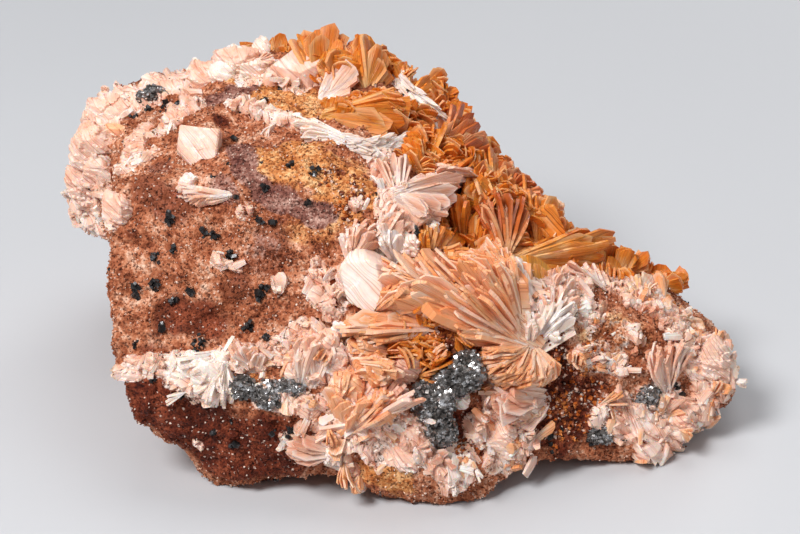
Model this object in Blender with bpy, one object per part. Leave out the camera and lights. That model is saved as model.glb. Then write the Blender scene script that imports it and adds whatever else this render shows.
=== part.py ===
"""Barite crystals and galena on a block of rusty sandstone, as one loose mineral specimen.

The rock is a star shaped body: from one inner point, every ray leaves it once.
Its broken faces are planes, softened where they meet, with lumps and hollows added.
Crystals are fans, plates, blocks and bands that stand on the rock.
A place on the specimen is given as (across, up, lift) in millimetres. Across and up are
measured in the plane of the sandy front face, looking down at it by VIEW_TILT degrees.
Lift is how far the point stands off the rock towards the viewer.
"""
import math

import bmesh
import bpy
import numpy as np
from mathutils import Vector

MM = 0.001
VIEW_TILT = 30.0
VIEW_DISTANCE = 350.0
FACE_HEIGHT = 33.46
SHIFT_X = 0.4
SHIFT_Y = -21.3
CORE = np.array([-4.0, 18.0, 21.0])
ROCK_CELLS = 15
CELL_BEND = 0.72
CELL_STRETCH = np.array([1.9, 1.35, 1.0])
EDGE_SOFTNESS = 0.8
REAR_JOINT = 2.0
LOBE_JOINT = 2.5
FOOT_JOINT = 3.0
HOLLOW_RIM = 1.2
RAY_START = 1.0
RAY_END = 80.0
RAY_STEPS = 100
RAY_HALVINGS = 14
SIGHT_START = -16.0
SIGHT_END = 60.0
SIGHT_STEPS = 305
CRYSTAL_GAP = 0.35
ROCK_GAP = 0.5
SMALLEST_EDGE = 0.003
FAN_HEIGHTS = (0.0, 0.4, 0.75, 1.0)
FAN_FULLNESS = (0.55, 1.0, 0.85, 0.25)
FAN_NOTCH = 0.88
FAN_EDGE_THINNING = 0.6
BAND_END_WIDTH = 0.35
BAND_SIDE_DEPTH = 0.3
KNOB_SWELL = 0.14
KNOB_GRAIN = 0.6

MAIN_FACES = (
    ((-24.0, 1.7, 35.4), (-0.05, -0.82, 0.59)),
    ((-22.5, -12.2, 15.1), (-0.20, -0.97, -0.16)),
    ((3.8, -14.2, 0.0), (0.12, -0.97, 0.13)),
    ((7.5, -10.9, 16.7), (0.43, -0.84, 0.33)),
    ((-20.0, 30.0, 47.0), (0.02, -0.10, 1.0)),
    ((-43.3, 5.0, 22.0), (-0.99, 0.03, -0.08)),
    ((-36.3, -7.5, 7.4), (-0.76, -0.12, -0.64)),
    ((-43.6, -3.0, 19.5), (-0.93, -0.20, -0.32)),
    ((-40.0, 45.0, 41.5), (-0.45, 0.05, 0.89)),
    ((-20.0, 55.5, 30.0), (-0.12, 0.99, 0.12)),
    ((0.0, 50.0, 36.0), (0.30, 0.80, 0.50)),
    ((4.5, 7.6, 37.4), (0.56, -0.10, 0.83)),
    ((24.0, 27.0, 22.0), (0.72, 0.68, 0.10)),
    ((0.0, 47.0, 4.0), (0.10, 0.78, -0.62)),
    ((0.0, 10.0, 1.7), (0.0, 0.0, -1.0)),
    ((-25.0, 52.0, 44.0), (0.0, 0.60, 0.80)),
)
REAR_FACES = (
    ((-45.0, 23.0, 30.0), (-0.62, -0.76, 0.20)),
    ((-52.4, 45.0, 28.0), (-0.99, 0.02, 0.14)),
    ((-53.0, 43.0, 22.6), (-0.36, -0.25, -0.90)),
    ((-51.5, 52.0, 36.8), (-0.36, 0.10, 0.92)),
    ((-53.2, 48.0, 35.0), (-0.80, 0.10, 0.60)),
    ((-42.0, 54.5, 30.0), (-0.20, 0.97, 0.10)),
    ((-30.0, 40.0, 45.0), (-0.25, 0.0, 0.97)),
    ((-28.0, 40.0, 30.0), (0.85, 0.50, 0.10)),
    ((-30.0, 26.0, 30.0), (0.40, -0.90, 0.10)),
    ((-40.0, 50.0, 12.0), (-0.10, 0.50, -0.85)),
    ((-40.0, 52.0, 42.0), (-0.10, 0.62, 0.78)),
)
LOBE_FACES = (
    ((36.7, -1.8, 0.0), (0.34, -0.92, 0.15)),
    ((30.8, 2.6, 19.3), (0.22, -0.82, 0.50)),
    ((40.0, 14.0, 20.6), (0.20, 0.05, 0.96)),
    ((47.0, 17.0, 15.7), (0.62, 0.10, 0.78)),
    ((52.8, 10.6, 9.4), (0.98, -0.10, 0.10)),
    ((45.0, 24.0, 12.0), (0.45, 0.85, 0.20)),
    ((46.5, 6.0, 2.6), (0.42, -0.10, -0.90)),
    ((25.0, 27.0, 12.0), (-0.10, 0.97, 0.10)),
    ((6.0, 8.0, 10.0), (-1.0, 0.0, 0.0)),
    ((30.0, 10.0, 1.6), (0.0, 0.0, -1.0)),
)
FEET = (
    ((3.8, -9.6, 3.6), (7.5, 6.0, 6.0)),
    ((-24.5, -5.0, 3.6), (6.0, 6.0, 6.0)),
    ((36.0, 3.5, 3.4), (6.5, 6.0, 5.6)),
    ((-20.0, 40.0, 3.6), (9.0, 8.0, 6.2)),
    ((12.0, 24.0, 3.4), (7.0, 7.0, 5.8)),
)
HOLLOWS = (
    ((-11.5, -13.0, -1.6), (8.5, 9.0, 5.2)),
    ((20.5, -7.0, -2.2), (12.5, 9.0, 5.6)),
    ((13.0, 10.5, 35.5), (9.5, 8.0, 6.0)),
    ((-24.0, 62.0, 17.0), (17.0, 9.5, 11.0)),
    ((12.0, 50.0, 22.0), (13.0, 8.0, 12.0)),
    ((-57.0, 18.0, 15.0), (14.5, 15.0, 9.0)),
)
WAVES = ((12.0, 0.9, 31), (5.0, 0.4, 41))
ROUGHNESS = ((6.5, 0.35, 12),)


def soft_union(first, second, softness):
    """The smaller of two distances, rounded where they cross."""
    blend = np.clip(0.5 + 0.5 * (second - first) / softness, 0.0, 1.0)
    return second * (1 - blend) + first * blend - softness * blend * (1 - blend)


def block_distance(points, faces):
    """Distance to a convex block of planes: a soft maximum over its faces."""
    normals = np.array([face[1] for face in faces], float)
    normals /= np.linalg.norm(normals, axis=1, keepdims=True)
    heights = np.sum(normals * np.array([face[0] for face in faces], float), axis=1)
    signed = (points @ normals.T - heights) / EDGE_SOFTNESS
    highest = signed.max(axis=-1)
    spread = np.exp(signed - highest[..., None]).sum(axis=-1)
    return EDGE_SOFTNESS * (highest + np.log(spread))


def ball_distance(points, centre, radii):
    """Rough distance to an ellipsoid."""
    scaled = (points - np.array(centre)) / np.array(radii)
    return (np.linalg.norm(scaled, axis=-1) - 1.0) * min(radii)


def wavy(points):
    """Points shifted by smooth noise along each axis, so that flat breaks turn out uneven."""
    shift = np.zeros_like(points)
    for size, height, seed in WAVES:
        shift += height * np.stack([noise(points, size, seed + axis) for axis in range(3)], axis=-1)
    return points + shift


def rock_distance(points):
    """Distance from the rock's surface, below zero inside the rock."""
    points = wavy(points)
    distance = block_distance(points, MAIN_FACES)
    distance = soft_union(distance, block_distance(points, REAR_FACES), REAR_JOINT)
    distance = soft_union(distance, block_distance(points, LOBE_FACES), LOBE_JOINT)
    for centre, radii in FEET:
        distance = soft_union(distance, ball_distance(points, centre, radii), FOOT_JOINT)
    for centre, radii in HOLLOWS:
        distance = -soft_union(-distance, ball_distance(points, centre, radii), HOLLOW_RIM)
    return distance


def lattice_value(cells, seed):
    """A fixed value from 0 to 1 for each whole numbered cell of space."""
    mask = np.int64(0xFFFFFFFF)
    mixed = (cells[..., 0] * 73856093) ^ (cells[..., 1] * 19349663) ^ (cells[..., 2] * 83492791)
    mixed = (mixed + seed * 40503) & mask
    mixed = ((mixed ^ (mixed >> 15)) * 739391) & mask
    mixed = ((mixed ^ (mixed >> 13)) * 561649) & mask
    return ((mixed ^ (mixed >> 16)) & 0xFFFF) / 65535.0


def noise(points, size, seed):
    """Smooth noise from -1 to 1: cell values blended across each cell of the given size."""
    scaled = points / size
    cells = np.floor(scaled).astype(np.int64)
    part = scaled - cells
    part = part * part * (3 - 2 * part)
    total = np.zeros(points.shape[:-1])
    for corner in np.ndindex(2, 2, 2):
        corner = np.array(corner)
        weight = np.prod(np.where(corner == 1, part, 1 - part), axis=-1)
        total += weight * lattice_value(cells + corner, seed)
    return 2 * total - 1


def rock_radius(rays):
    """How far each ray runs from the core to the rock's surface, broken surface included."""
    outside = np.full(len(rays), RAY_END)
    inside = np.full(len(rays), RAY_START)
    found = np.zeros(len(rays), bool)
    for reach in np.linspace(RAY_END, RAY_START, RAY_STEPS):
        hit = (rock_distance(CORE + rays * reach) < 0) & ~found
        inside[hit] = reach
        outside[~found & ~hit] = reach
        found |= hit
    for _ in range(RAY_HALVINGS):
        middle = 0.5 * (inside + outside)
        within = rock_distance(CORE + rays * middle[:, None]) < 0
        inside = np.where(within, middle, inside)
        outside = np.where(within, outside, middle)
    surface = CORE + rays * inside[:, None]
    for size, height, seed in ROUGHNESS:
        inside = inside + height * noise(surface, size, seed)
    return inside


def from_view(across, back, up):
    """A point of the viewer's frame, in millimetres, in the specimen's own frame."""
    tilt = math.radians(VIEW_TILT)
    depth = back * math.cos(tilt) + up * math.sin(tilt)
    height = up * math.cos(tilt) - back * math.sin(tilt) + FACE_HEIGHT
    return np.array([across, depth, height])


def at_depth(across, up, back):
    """A place seen at (across, up) on the face's plane, lying back millimetres behind it."""
    widen = (VIEW_DISTANCE + back) / VIEW_DISTANCE
    return from_view(across * widen, back, up * widen)


def on_rock(across, up, lift):
    """A place seen at (across, up), lift millimetres in front of the rock.

    Where the line of sight misses the rock, the place is where it passes closest.
    """
    steps = np.linspace(SIGHT_START, SIGHT_END, SIGHT_STEPS)
    line = np.array([at_depth(across, up, step) for step in steps])
    distances = rock_distance(line)
    inside = np.nonzero(distances < 0)[0]
    if len(inside):
        chosen = inside[0]
    else:
        chosen = int(np.argmin(distances))
    return at_depth(across, up, steps[chosen] - lift)


def around(turn, rise, lift):
    """A place on the rock along a ray from its core, turned and raised by so many degrees."""
    flat = math.cos(math.radians(rise))
    ray = np.array([[
        flat * math.cos(math.radians(turn)),
        flat * math.sin(math.radians(turn)),
        math.sin(math.radians(rise)),
    ]])
    reach = rock_radius(ray)[0] + lift
    return CORE + ray[0] * reach


def place(spot):
    """Where a spot lies, in millimetres.

    A spot is (across, up, lift), or (across, up, None, back) where no rock is behind it,
    or ("around", turn, rise, lift) on a side that the viewer does not see.
    """
    if spot[0] == "around":
        return around(*spot[1:])
    if spot[2] is None:
        return at_depth(spot[0], spot[1], spot[3])
    return on_rock(*spot)


def curve_through(first, middle, last, share):
    """A parabola that passes through three points."""
    handle = 2 * middle - 0.5 * (first + last)
    rest = 1 - share
    return first * rest * rest + handle * 2 * rest * share + last * share * share


def mesh_object(name, points, faces):
    """An object with its origin at the middle of its points, which are in millimetres."""
    points = np.asarray(points, float)
    middle = (points.min(axis=0) + points.max(axis=0)) / 2
    mesh = bpy.data.meshes.new(name)
    mesh.from_pydata(((points - middle) * MM).tolist(), [], [list(face) for face in faces])
    mesh.update()
    thing = bpy.data.objects.new(name, mesh)
    thing.location = (middle * MM).tolist()
    bpy.context.scene.collection.objects.link(thing)
    return thing


def grid_solid(name, upper, lower):
    """A closed solid between two grids of points that share their layout."""
    rows, columns = upper.shape[:2]
    count = rows * columns
    faces = []
    for row in range(rows - 1):
        for column in range(columns - 1):
            a = row * columns + column
            b = a + 1
            c = a + columns + 1
            d = a + columns
            faces.append((a, b, c, d))
            faces.append((d + count, c + count, b + count, a + count))
    rim = [column for column in range(columns)]
    rim += [row * columns + columns - 1 for row in range(1, rows)]
    rim += [(rows - 1) * columns + column for column in range(columns - 2, -1, -1)]
    rim += [row * columns for row in range(rows - 2, 0, -1)]
    for index, start in enumerate(rim):
        end = rim[(index + 1) % len(rim)]
        faces.append((end, start, start + count, end + count))
    points = np.concatenate([upper.reshape(-1, 3), lower.reshape(-1, 3)])
    return face_outwards(mesh_object(name, points, faces))


def face_outwards(thing):
    """Turn every face of a closed mesh to the outside."""
    shape = bmesh.new()
    shape.from_mesh(thing.data)
    bmesh.ops.triangulate(shape, faces=shape.faces)
    bmesh.ops.recalc_face_normals(shape, faces=shape.faces)
    shape.to_mesh(thing.data)
    shape.free()
    return thing


def fan(name, root, crest, thickness, ribs=5, bulge=0.0, gather=0.14):
    """A sheaf of blades that spread from one root to a saw toothed crest.

    crest holds three spots; bulge lifts the middle of the sheaf off its plane.
    """
    base = place(root)
    first, middle, last = [place(spot) for spot in crest]
    shares = np.linspace(0.0, 1.0, ribs + 1)
    facing = np.cross(last - first, middle - base)
    facing /= np.linalg.norm(facing)
    if facing @ (middle - CORE) < 0:
        facing = -facing
    upper = np.zeros((len(FAN_HEIGHTS), len(shares), 3))
    lower = np.zeros_like(upper)
    for column, share in enumerate(shares):
        tooth = 1.0 if column % 2 == 0 else FAN_NOTCH
        end = curve_through(first, middle, last, share)
        start = base + gather * (end - middle)
        side = 1.0 - FAN_EDGE_THINNING * (2 * share - 1) ** 2
        for row, height in enumerate(FAN_HEIGHTS):
            point = start + (end - start) * height * tooth
            point = point + facing * bulge * math.sin(math.pi * height) * side
            half = 0.5 * thickness * FAN_FULLNESS[row] * side
            upper[row, column] = point + facing * half
            lower[row, column] = point - facing * half
    return grid_solid(name, upper, lower)


def from_view_direction():
    """The direction from the specimen to the viewer."""
    return from_view(0.0, -1.0, 0.0) - from_view(0.0, 0.0, 0.0)


def band(name, spots, width, thickness, sections=6):
    """A low ridge of fibres laid along a smooth line through the spots."""
    knots = np.array([place(spot) for spot in spots])
    towards = from_view_direction()
    stations = np.linspace(0, len(knots) - 1, sections + 1)
    stops = range(len(knots))
    line = np.stack([np.interp(stations, stops, knots[:, axis]) for axis in range(3)], axis=1)
    ahead = np.gradient(line, axis=0)
    sideways = np.cross(ahead, towards)
    sideways /= np.linalg.norm(sideways, axis=1, keepdims=True)
    arch = np.sin(np.pi * np.linspace(0.08, 0.92, sections + 1))[:, None]
    taper = BAND_END_WIDTH + (1 - BAND_END_WIDTH) * arch
    left = line - sideways * width / 2 * taper
    right = line + sideways * width / 2 * taper
    side_depth = towards * thickness * BAND_SIDE_DEPTH
    upper = np.stack([left, line + towards * thickness / 2 * taper, right], axis=1)
    lower = np.stack([left - side_depth, line - towards * thickness, right - side_depth], axis=1)
    return grid_solid(name, upper, lower)


def cleavage_block(name, spot, size, turn, chips=()):
    """A block with flat cleavage faces; each chip is a plane that cuts a corner away."""
    shape = bmesh.new()
    bmesh.ops.create_cube(shape, size=1.0)
    bmesh.ops.scale(shape, vec=Vector(size) * MM, verts=shape.verts)
    for distance, direction in chips:
        normal = Vector(direction).normalized()
        geometry = shape.verts[:] + shape.edges[:] + shape.faces[:]
        cut = bmesh.ops.bisect_plane(shape, geom=geometry, plane_co=normal * distance * MM,
                                     plane_no=normal, clear_outer=True)
        open_edges = [item for item in cut["geom_cut"] if isinstance(item, bmesh.types.BMEdge)]
        bmesh.ops.contextual_create(shape, geom=open_edges)
    bmesh.ops.recalc_face_normals(shape, faces=shape.faces)
    mesh = bpy.data.meshes.new(name)
    shape.to_mesh(mesh)
    shape.free()
    thing = bpy.data.objects.new(name, mesh)
    thing.location = (place(spot) * MM).tolist()
    thing.rotation_euler = [math.radians(angle) for angle in turn]
    bpy.context.scene.collection.objects.link(thing)
    return thing


def knob(name, spot, radii, seed, detail=2):
    """A rough rounded lump."""
    shape = bmesh.new()
    bmesh.ops.create_icosphere(shape, subdivisions=detail, radius=1.0)
    for vertex in shape.verts:
        swell = 1.0 + KNOB_SWELL * float(noise(np.array([tuple(vertex.co)]), KNOB_GRAIN, seed)[0])
        vertex.co = Vector([vertex.co[axis] * radii[axis] * swell * MM for axis in range(3)])
    for face in shape.faces:
        face.smooth = True
    mesh = bpy.data.meshes.new(name)
    shape.to_mesh(mesh)
    shape.free()
    thing = bpy.data.objects.new(name, mesh)
    thing.location = (place(spot) * MM).tolist()
    bpy.context.scene.collection.objects.link(thing)
    return thing


def rock_body(name, growth):
    """The rock: a cube's grid of faces pushed out along rays to the rock's surface."""
    shape = bmesh.new()
    bmesh.ops.create_cube(shape, size=2.0)
    bmesh.ops.subdivide_edges(shape, edges=shape.edges[:], cuts=ROCK_CELLS - 1, use_grid_fill=True)
    shape.verts.ensure_lookup_table()
    rays = np.array([tuple(vertex.co) for vertex in shape.verts])
    rays = np.tan(rays * CELL_BEND) * CELL_STRETCH
    rays /= np.linalg.norm(rays, axis=1, keepdims=True)
    places = rays * (rock_radius(rays) + growth)[:, None]
    for vertex, spot in zip(shape.verts, places):
        vertex.co = Vector(spot) * MM
    bmesh.ops.triangulate(shape, faces=shape.faces, quad_method="FIXED")
    ground = Vector((0.0, 0.0, -CORE[2] * MM))
    if growth == 0:
        geometry = shape.verts[:] + shape.edges[:] + shape.faces[:]
        cut = bmesh.ops.bisect_plane(shape, geom=geometry, plane_co=ground, plane_no=(0, 0, -1),
                                     clear_outer=True)
        open_edges = [item for item in cut["geom_cut"] if isinstance(item, bmesh.types.BMEdge)]
        bmesh.ops.edgeloop_fill(shape, edges=open_edges)
    bmesh.ops.recalc_face_normals(shape, faces=shape.faces)
    mesh = bpy.data.meshes.new(name)
    shape.to_mesh(mesh)
    shape.free()
    thing = bpy.data.objects.new(name, mesh)
    thing.location = (CORE * MM).tolist()
    bpy.context.scene.collection.objects.link(thing)
    return thing


def finish_colour(name, colour, roughness, metallic=0.0):
    """One Principled material."""
    material = bpy.data.materials.new(name)
    material.use_nodes = True
    shader = material.node_tree.nodes["Principled BSDF"]
    shader.inputs["Base Color"].default_value = (*colour, 1.0)
    shader.inputs["Roughness"].default_value = roughness
    shader.inputs["Metallic"].default_value = metallic
    return material


def evaluated_shape(thing):
    """The object's mesh with its modifiers, in world space."""
    bpy.context.view_layer.update()
    graph = bpy.context.evaluated_depsgraph_get()
    final = thing.evaluated_get(graph)
    shape = bmesh.new()
    shape.from_mesh(final.to_mesh())
    final.to_mesh_clear()
    shape.transform(thing.matrix_world)
    return shape


def keep_largest_body(shape):
    """Delete every separate body but the one with the largest volume."""
    shape.faces.ensure_lookup_table()
    unseen = set(shape.faces)
    bodies = []
    while unseen:
        stack = [unseen.pop()]
        body = list(stack)
        while stack:
            for edge in stack.pop().edges:
                for neighbour in edge.link_faces:
                    if neighbour in unseen:
                        unseen.remove(neighbour)
                        stack.append(neighbour)
                        body.append(neighbour)
        bodies.append(body)
    bodies.sort(key=body_volume)
    spare = [face for body in bodies[:-1] for face in body]
    bmesh.ops.delete(shape, geom=spare, context="FACES")


def body_volume(faces):
    """Volume enclosed by a list of faces, by summing cones from the origin."""
    total = 0.0
    for face in faces:
        corners = [vertex.co for vertex in face.verts]
        for second, third in zip(corners[1:], corners[2:]):
            total += corners[0].dot(second.cross(third)) / 6
    return total


def is_closed(shape):
    """Whether every edge joins two faces and something is left."""
    return len(shape.faces) > 3 and all(edge.is_manifold for edge in shape.edges)


def joined_shape(thing, other, operation, solver, merge):
    """The largest body of the triangle mesh that a Boolean modifier gives."""
    cut = thing.modifiers.new(operation.lower(), "BOOLEAN")
    cut.operation = operation
    cut.solver = solver
    cut.object = other
    shape = evaluated_shape(thing)
    thing.modifiers.remove(cut)
    bmesh.ops.triangulate(shape, faces=shape.faces)
    bmesh.ops.remove_doubles(shape, verts=shape.verts, dist=merge * MM)
    keep_largest_body(shape)
    return shape


def combine(thing, others, operation):
    """Join or cut with each of the others in turn.

    The exact solver comes first. It can lose fans that meet at one root, so where it
    leaves an open or an empty mesh, the manifold solver makes that step again.
    """
    for other in others:
        for solver, merge in (("EXACT", SMALLEST_EDGE), ("EXACT", 0.0), ("MANIFOLD", 0.0)):
            shape = joined_shape(thing, other, operation, solver, merge)
            if is_closed(shape):
                break
        else:
            raise RuntimeError(f"{thing.name} is not closed after its {operation.lower()}")
        shape.transform(thing.matrix_world.inverted())
        shape.to_mesh(thing.data)
        shape.free()
        thing.data.update()
    return thing


def swollen(thing, gap):
    """A copy with every corner moved out along its normal, used only as a cutter."""
    shape = evaluated_shape(thing)
    shape.normal_update()
    moved = [vertex.co + vertex.normal * gap * MM for vertex in shape.verts]
    for vertex, spot in zip(shape.verts, moved):
        vertex.co = spot
    mesh = bpy.data.meshes.new(thing.name + "_clearance")
    shape.to_mesh(mesh)
    shape.free()
    copy = bpy.data.objects.new(thing.name + "_clearance", mesh)
    bpy.context.scene.collection.objects.link(copy)
    return copy


def as_cutter(thing):
    """Mark an object as a guide that is not part of the specimen."""
    thing.hide_render = True
    thing.display_type = "WIRE"
    return thing


def remove(things):
    """Delete helper objects."""
    for thing in things:
        bpy.data.objects.remove(thing)


def world_box(thing):
    """Lowest and highest corners of an object."""
    bpy.context.view_layer.update()
    corners = np.array([tuple(thing.matrix_world @ vertex.co) for vertex in thing.data.vertices])
    return corners.min(axis=0), corners.max(axis=0)


def boxes_meet(first, second):
    """Whether two objects' boxes come within the crystal gap of each other."""
    low_a, high_a = world_box(first)
    low_b, high_b = world_box(second)
    margin = CRYSTAL_GAP * MM
    return bool(np.all(low_a - margin < high_b) and np.all(low_b - margin < high_a))


def grow(name, pieces, material, rock_cutter, settled):
    """Join the pieces of one crystal group, trim it by the rock and by its neighbours."""
    whole = pieces[0]
    if len(pieces) > 1:
        combine(whole, pieces[1:], "UNION")
        remove(pieces[1:])
    combine(whole, [rock_cutter], "DIFFERENCE")
    near = [swollen(other, CRYSTAL_GAP) for other in settled if boxes_meet(whole, other)]
    if near:
        combine(whole, near, "DIFFERENCE")
        remove(near)
    whole.name = name
    whole.data.name = name
    whole.data.materials.clear()
    whole.data.materials.append(material)
    settled.append(whole)


def top_crystals(colours, rock_cutter, settled):
    """The rosette, the pale block and the blade on the specimen's top."""
    grow("barite_top_blade", [
        fan("blade", (-11.4, 25.2, -0.5),
            ((-10.0, 28.0, 3.0), (-6.3, 30.3, 4.5), (-8.0, 26.5, 3.0)), 1.1, 3),
    ], colours["pale"], rock_cutter, settled)
    grow("barite_top_block", [
        cleavage_block("block", (-15.4, 29.4, 1.0), (7.6, 5.5, 4.6), (12, 6, -24),
                       ((3.6, (1.0, -0.4, 0.6)), (3.2, (-0.8, 0.2, 0.7)))),
        fan("plate", (-20.7, 28.8, -1.0),
            ((-22.5, 32.8, None, 27.0), (-19.2, 35.1, None, 26.0), (-17.6, 31.8, None, 25.0)), 1.8, 4),
    ], colours["pale"], rock_cutter, settled)
    grow("barite_top_rosette", [
        fan("rosette", (-11.7, 26.5, -1.5),
            ((-17.0, 32.3, None, 27.0), (-12.3, 35.6, None, 29.0), (-8.0, 33.8, None, 27.0)), 3.4, 5),
        fan("disc", (-9.3, 27.5, 0.0),
            ((-11.7, 30.2, None, 22.0), (-9.8, 32.8, None, 23.0), (-7.2, 30.8, None, 22.0)), 1.4, 3),
    ], colours["orange"], rock_cutter, settled)
    grow("barite_top_right_fan", [
        fan("notched", (-5.0, 26.2, -1.5),
            ((-7.4, 33.3, None, 26.0), (-5.0, 34.7, None, 27.0), (-1.2, 30.8, None, 25.0)), 4.0, 5),
    ], colours["orange"], rock_cutter, settled)


def upper_crystals(colours, rock_cutter, settled):
    """Sheaves and fans around the white rim on the upper right."""
    grow("barite_shell_sheaf", [
        fan("shell", (-11.7, 22.6, -0.5),
            ((-1.2, 25.5, 3.0), (1.5, 22.5, 4.0), (-1.2, 19.7, 2.5)), 5.0, 6, 1.5),
    ], colours["orange"], rock_cutter, settled)
    grow("barite_white_rim", [
        band("rim", ((-16.2, 22.3, 0.5), (-11.3, 19.0, 1.5), (-5.3, 17.9, 2.0), (0.8, 19.0, 2.5),
                     (5.4, 22.6, 2.5)), 3.2, 3.0, 5),
        band("strip", ((-2.2, 30.6, 1.0), (0.2, 27.0, 2.0), (2.9, 24.4, 2.2), (5.4, 22.4, 2.2)),
             2.8, 2.6, 4),
    ], colours["white"], rock_cutter, settled)
    grow("barite_edge_fan", [
        fan("edge", (3.8, 12.8, -1.0),
            ((0.3, 17.6, 3.0), (1.5, 20.6, 4.0), (5.4, 21.6, 3.5)), 3.2, 6, 0.8),
    ], colours["orange"], rock_cutter, settled)
    grow("barite_edge_blades", [
        fan("edge", (1.2, 25.0, -0.5), ((0.3, 29.1, 2.0), (3.8, 27.3, 2.0), (5.7, 24.0, 2.0)), 2.2, 5),
    ], colours["orange"], rock_cutter, settled)
    grow("barite_brown_wall", [
        fan("wall", (5.6, 14.9, -1.0),
            ((6.8, 22.4, 2.0), (11.4, 19.7, 2.2), (12.3, 14.9, 2.0)), 4.0, 6),
        knob("olive", (11.7, 18.0, 0.5), (2.4, 2.0, 1.6), 3, 1),
    ], colours["brown"], rock_cutter, settled)
    grow("barite_shelf_plates", [
        fan("shelf", (12.3, 12.8, 0.0), ((5.6, 15.0, 4.0), (5.0, 14.1, 5.0), (5.6, 12.9, 4.0)), 1.3, 3),
    ], colours["pale"], rock_cutter, settled)
    grow("barite_plume_fan", [
        fan("plume", (-0.9, 10.7, 0.0),
            ((6.0, 13.2, 4.0), (8.3, 10.0, 5.0), (4.8, 6.2, 3.5)), 3.6, 6, 0.8),
    ], colours["pale"], rock_cutter, settled)


def hollow_crystals(colours, rock_cutter, settled):
    """Fans and plates that stand in the hollow on the right."""
    grow("barite_upright_blades", [
        fan("upright", (9.5, 2.6, 0.0),
            ((7.8, 10.0, 5.0), (9.2, 11.1, 6.0), (10.5, 10.0, 5.0)), 1.8, 3),
    ], colours["orange"], rock_cutter, settled)
    grow("barite_curtain_fan", [
        fan("curtain", (15.8, 1.0, 0.0),
            ((10.7, 8.0, 3.0), (13.8, 11.0, 4.0), (17.4, 8.9, 3.0)), 3.4, 6),
    ], colours["brown"], rock_cutter, settled)
    grow("barite_hazy_blade", [
        fan("hazy", (15.0, 8.4, -0.5),
            ((9.9, 10.6, 2.5), (11.4, 12.8, 3.0), (15.8, 12.5, 2.5)), 1.6, 4),
    ], colours["orange"], rock_cutter, settled)
    grow("barite_corner_block", [
        cleavage_block("corner", (21.2, 6.2, 0.8), (6.0, 4.2, 5.6), (-22, -18, 14),
                       ((2.9, (-0.5, -0.6, 0.6)), (3.4, (0.9, 0.3, 0.5)))),
    ], colours["orange"], rock_cutter, settled)
    grow("barite_ridge_blades", [
        fan("ridge", (16.5, 10.6, -0.5),
            ((13.0, 16.4, 1.0), (18.0, 14.3, 1.2), (21.9, 10.2, 1.0)), 3.0, 5),
    ], colours["brown"], rock_cutter, settled)
    grow("barite_wedge_fan", [
        fan("wedge", (16.8, 0.8, 0.5),
            ((23.7, 3.8, 3.0), (30.0, 4.0, 3.0), (32.7, 0.5, 2.0)), 4.0, 5, 0.5),
    ], colours["orange"], rock_cutter, settled)
    grow("barite_ochre_disc", [
        fan("ochre", (20.6, -5.0, 0.0),
            ((16.8, 0.0, 2.5), (19.5, 1.5, 3.0), (22.5, -0.8, 2.5)), 1.8, 5),
    ], colours["ochre"], rock_cutter, settled)


def middle_crystals(colours, rock_cutter, settled):
    """The large swept rosette and the sheaves around it."""
    grow("barite_swept_rosette", [
        fan("middle", (18.3, -11.3, 0.0),
            ((8.7, 0.2, 6.0), (13.0, 3.3, 7.5), (17.1, 0.2, 6.0)), 5.0, 6, 1.5),
        fan("swept", (20.4, -12.2, 0.5),
            ((7.2, 1.4, 4.0), (-1.8, -0.2, 4.0), (0.8, -5.0, 4.5)), 5.0, 7, 1.5),
        fan("spray", (19.5, -11.9, 0.0),
            ((12.0, -12.5, 2.5), (15.0, -17.6, 3.0), (23.4, -17.0, 2.0)), 3.2, 5),
    ], colours["peach"], rock_cutter, settled)
    grow("barite_angular_block", [
        cleavage_block("angular", (-5.4, -1.6, 1.2), (7.6, 4.6, 7.4), (-14, 24, -18),
                       ((3.6, (0.8, -0.5, 0.7)), (3.4, (-0.7, -0.5, -0.6)), (3.8, (-0.6, -0.4, 0.8)))),
    ], colours["white"], rock_cutter, settled)
    grow("barite_leaning_blades", [
        fan("leaning", (-4.2, -7.0, -0.5),
            ((-2.3, -3.5, 3.5), (1.6, -2.8, 5.0), (1.6, -5.9, 4.0)), 2.4, 3),
    ], colours["peach"], rock_cutter, settled)
    grow("barite_leaf_sheaf", [
        fan("leaf", (5.4, -9.5, -0.5),
            ((-6.8, -7.9, 3.5), (-8.4, -9.2, 3.5), (-4.5, -11.6, 3.0)), 3.4, 5, 1.0),
    ], colours["peach"], rock_cutter, settled)
    grow("barite_lower_sheaf", [
        fan("lower", (-7.5, -14.0, 0.0),
            ((-2.3, -13.5, 3.0), (0.3, -16.2, 3.5), (-3.0, -17.4, 3.0)), 2.8, 4, 0.5),
    ], colours["peach"], rock_cutter, settled)
    grow("barite_peach_spray", [
        fan("peach", (-7.2, -24.8, -0.5),
            ((-10.2, -16.2, 2.5), (-4.2, -19.4, 3.0), (2.2, -18.4, 2.5)), 3.4, 6),
    ], colours["peach"], rock_cutter, settled)
    grow("barite_pink_plates", [
        fan("pink", (22.2, -19.4, -0.5),
            ((15.8, -19.0, 1.5), (13.5, -21.2, 2.0), (16.5, -24.8, 1.5)), 2.6, 5),
    ], colours["pale"], rock_cutter, settled)


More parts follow.
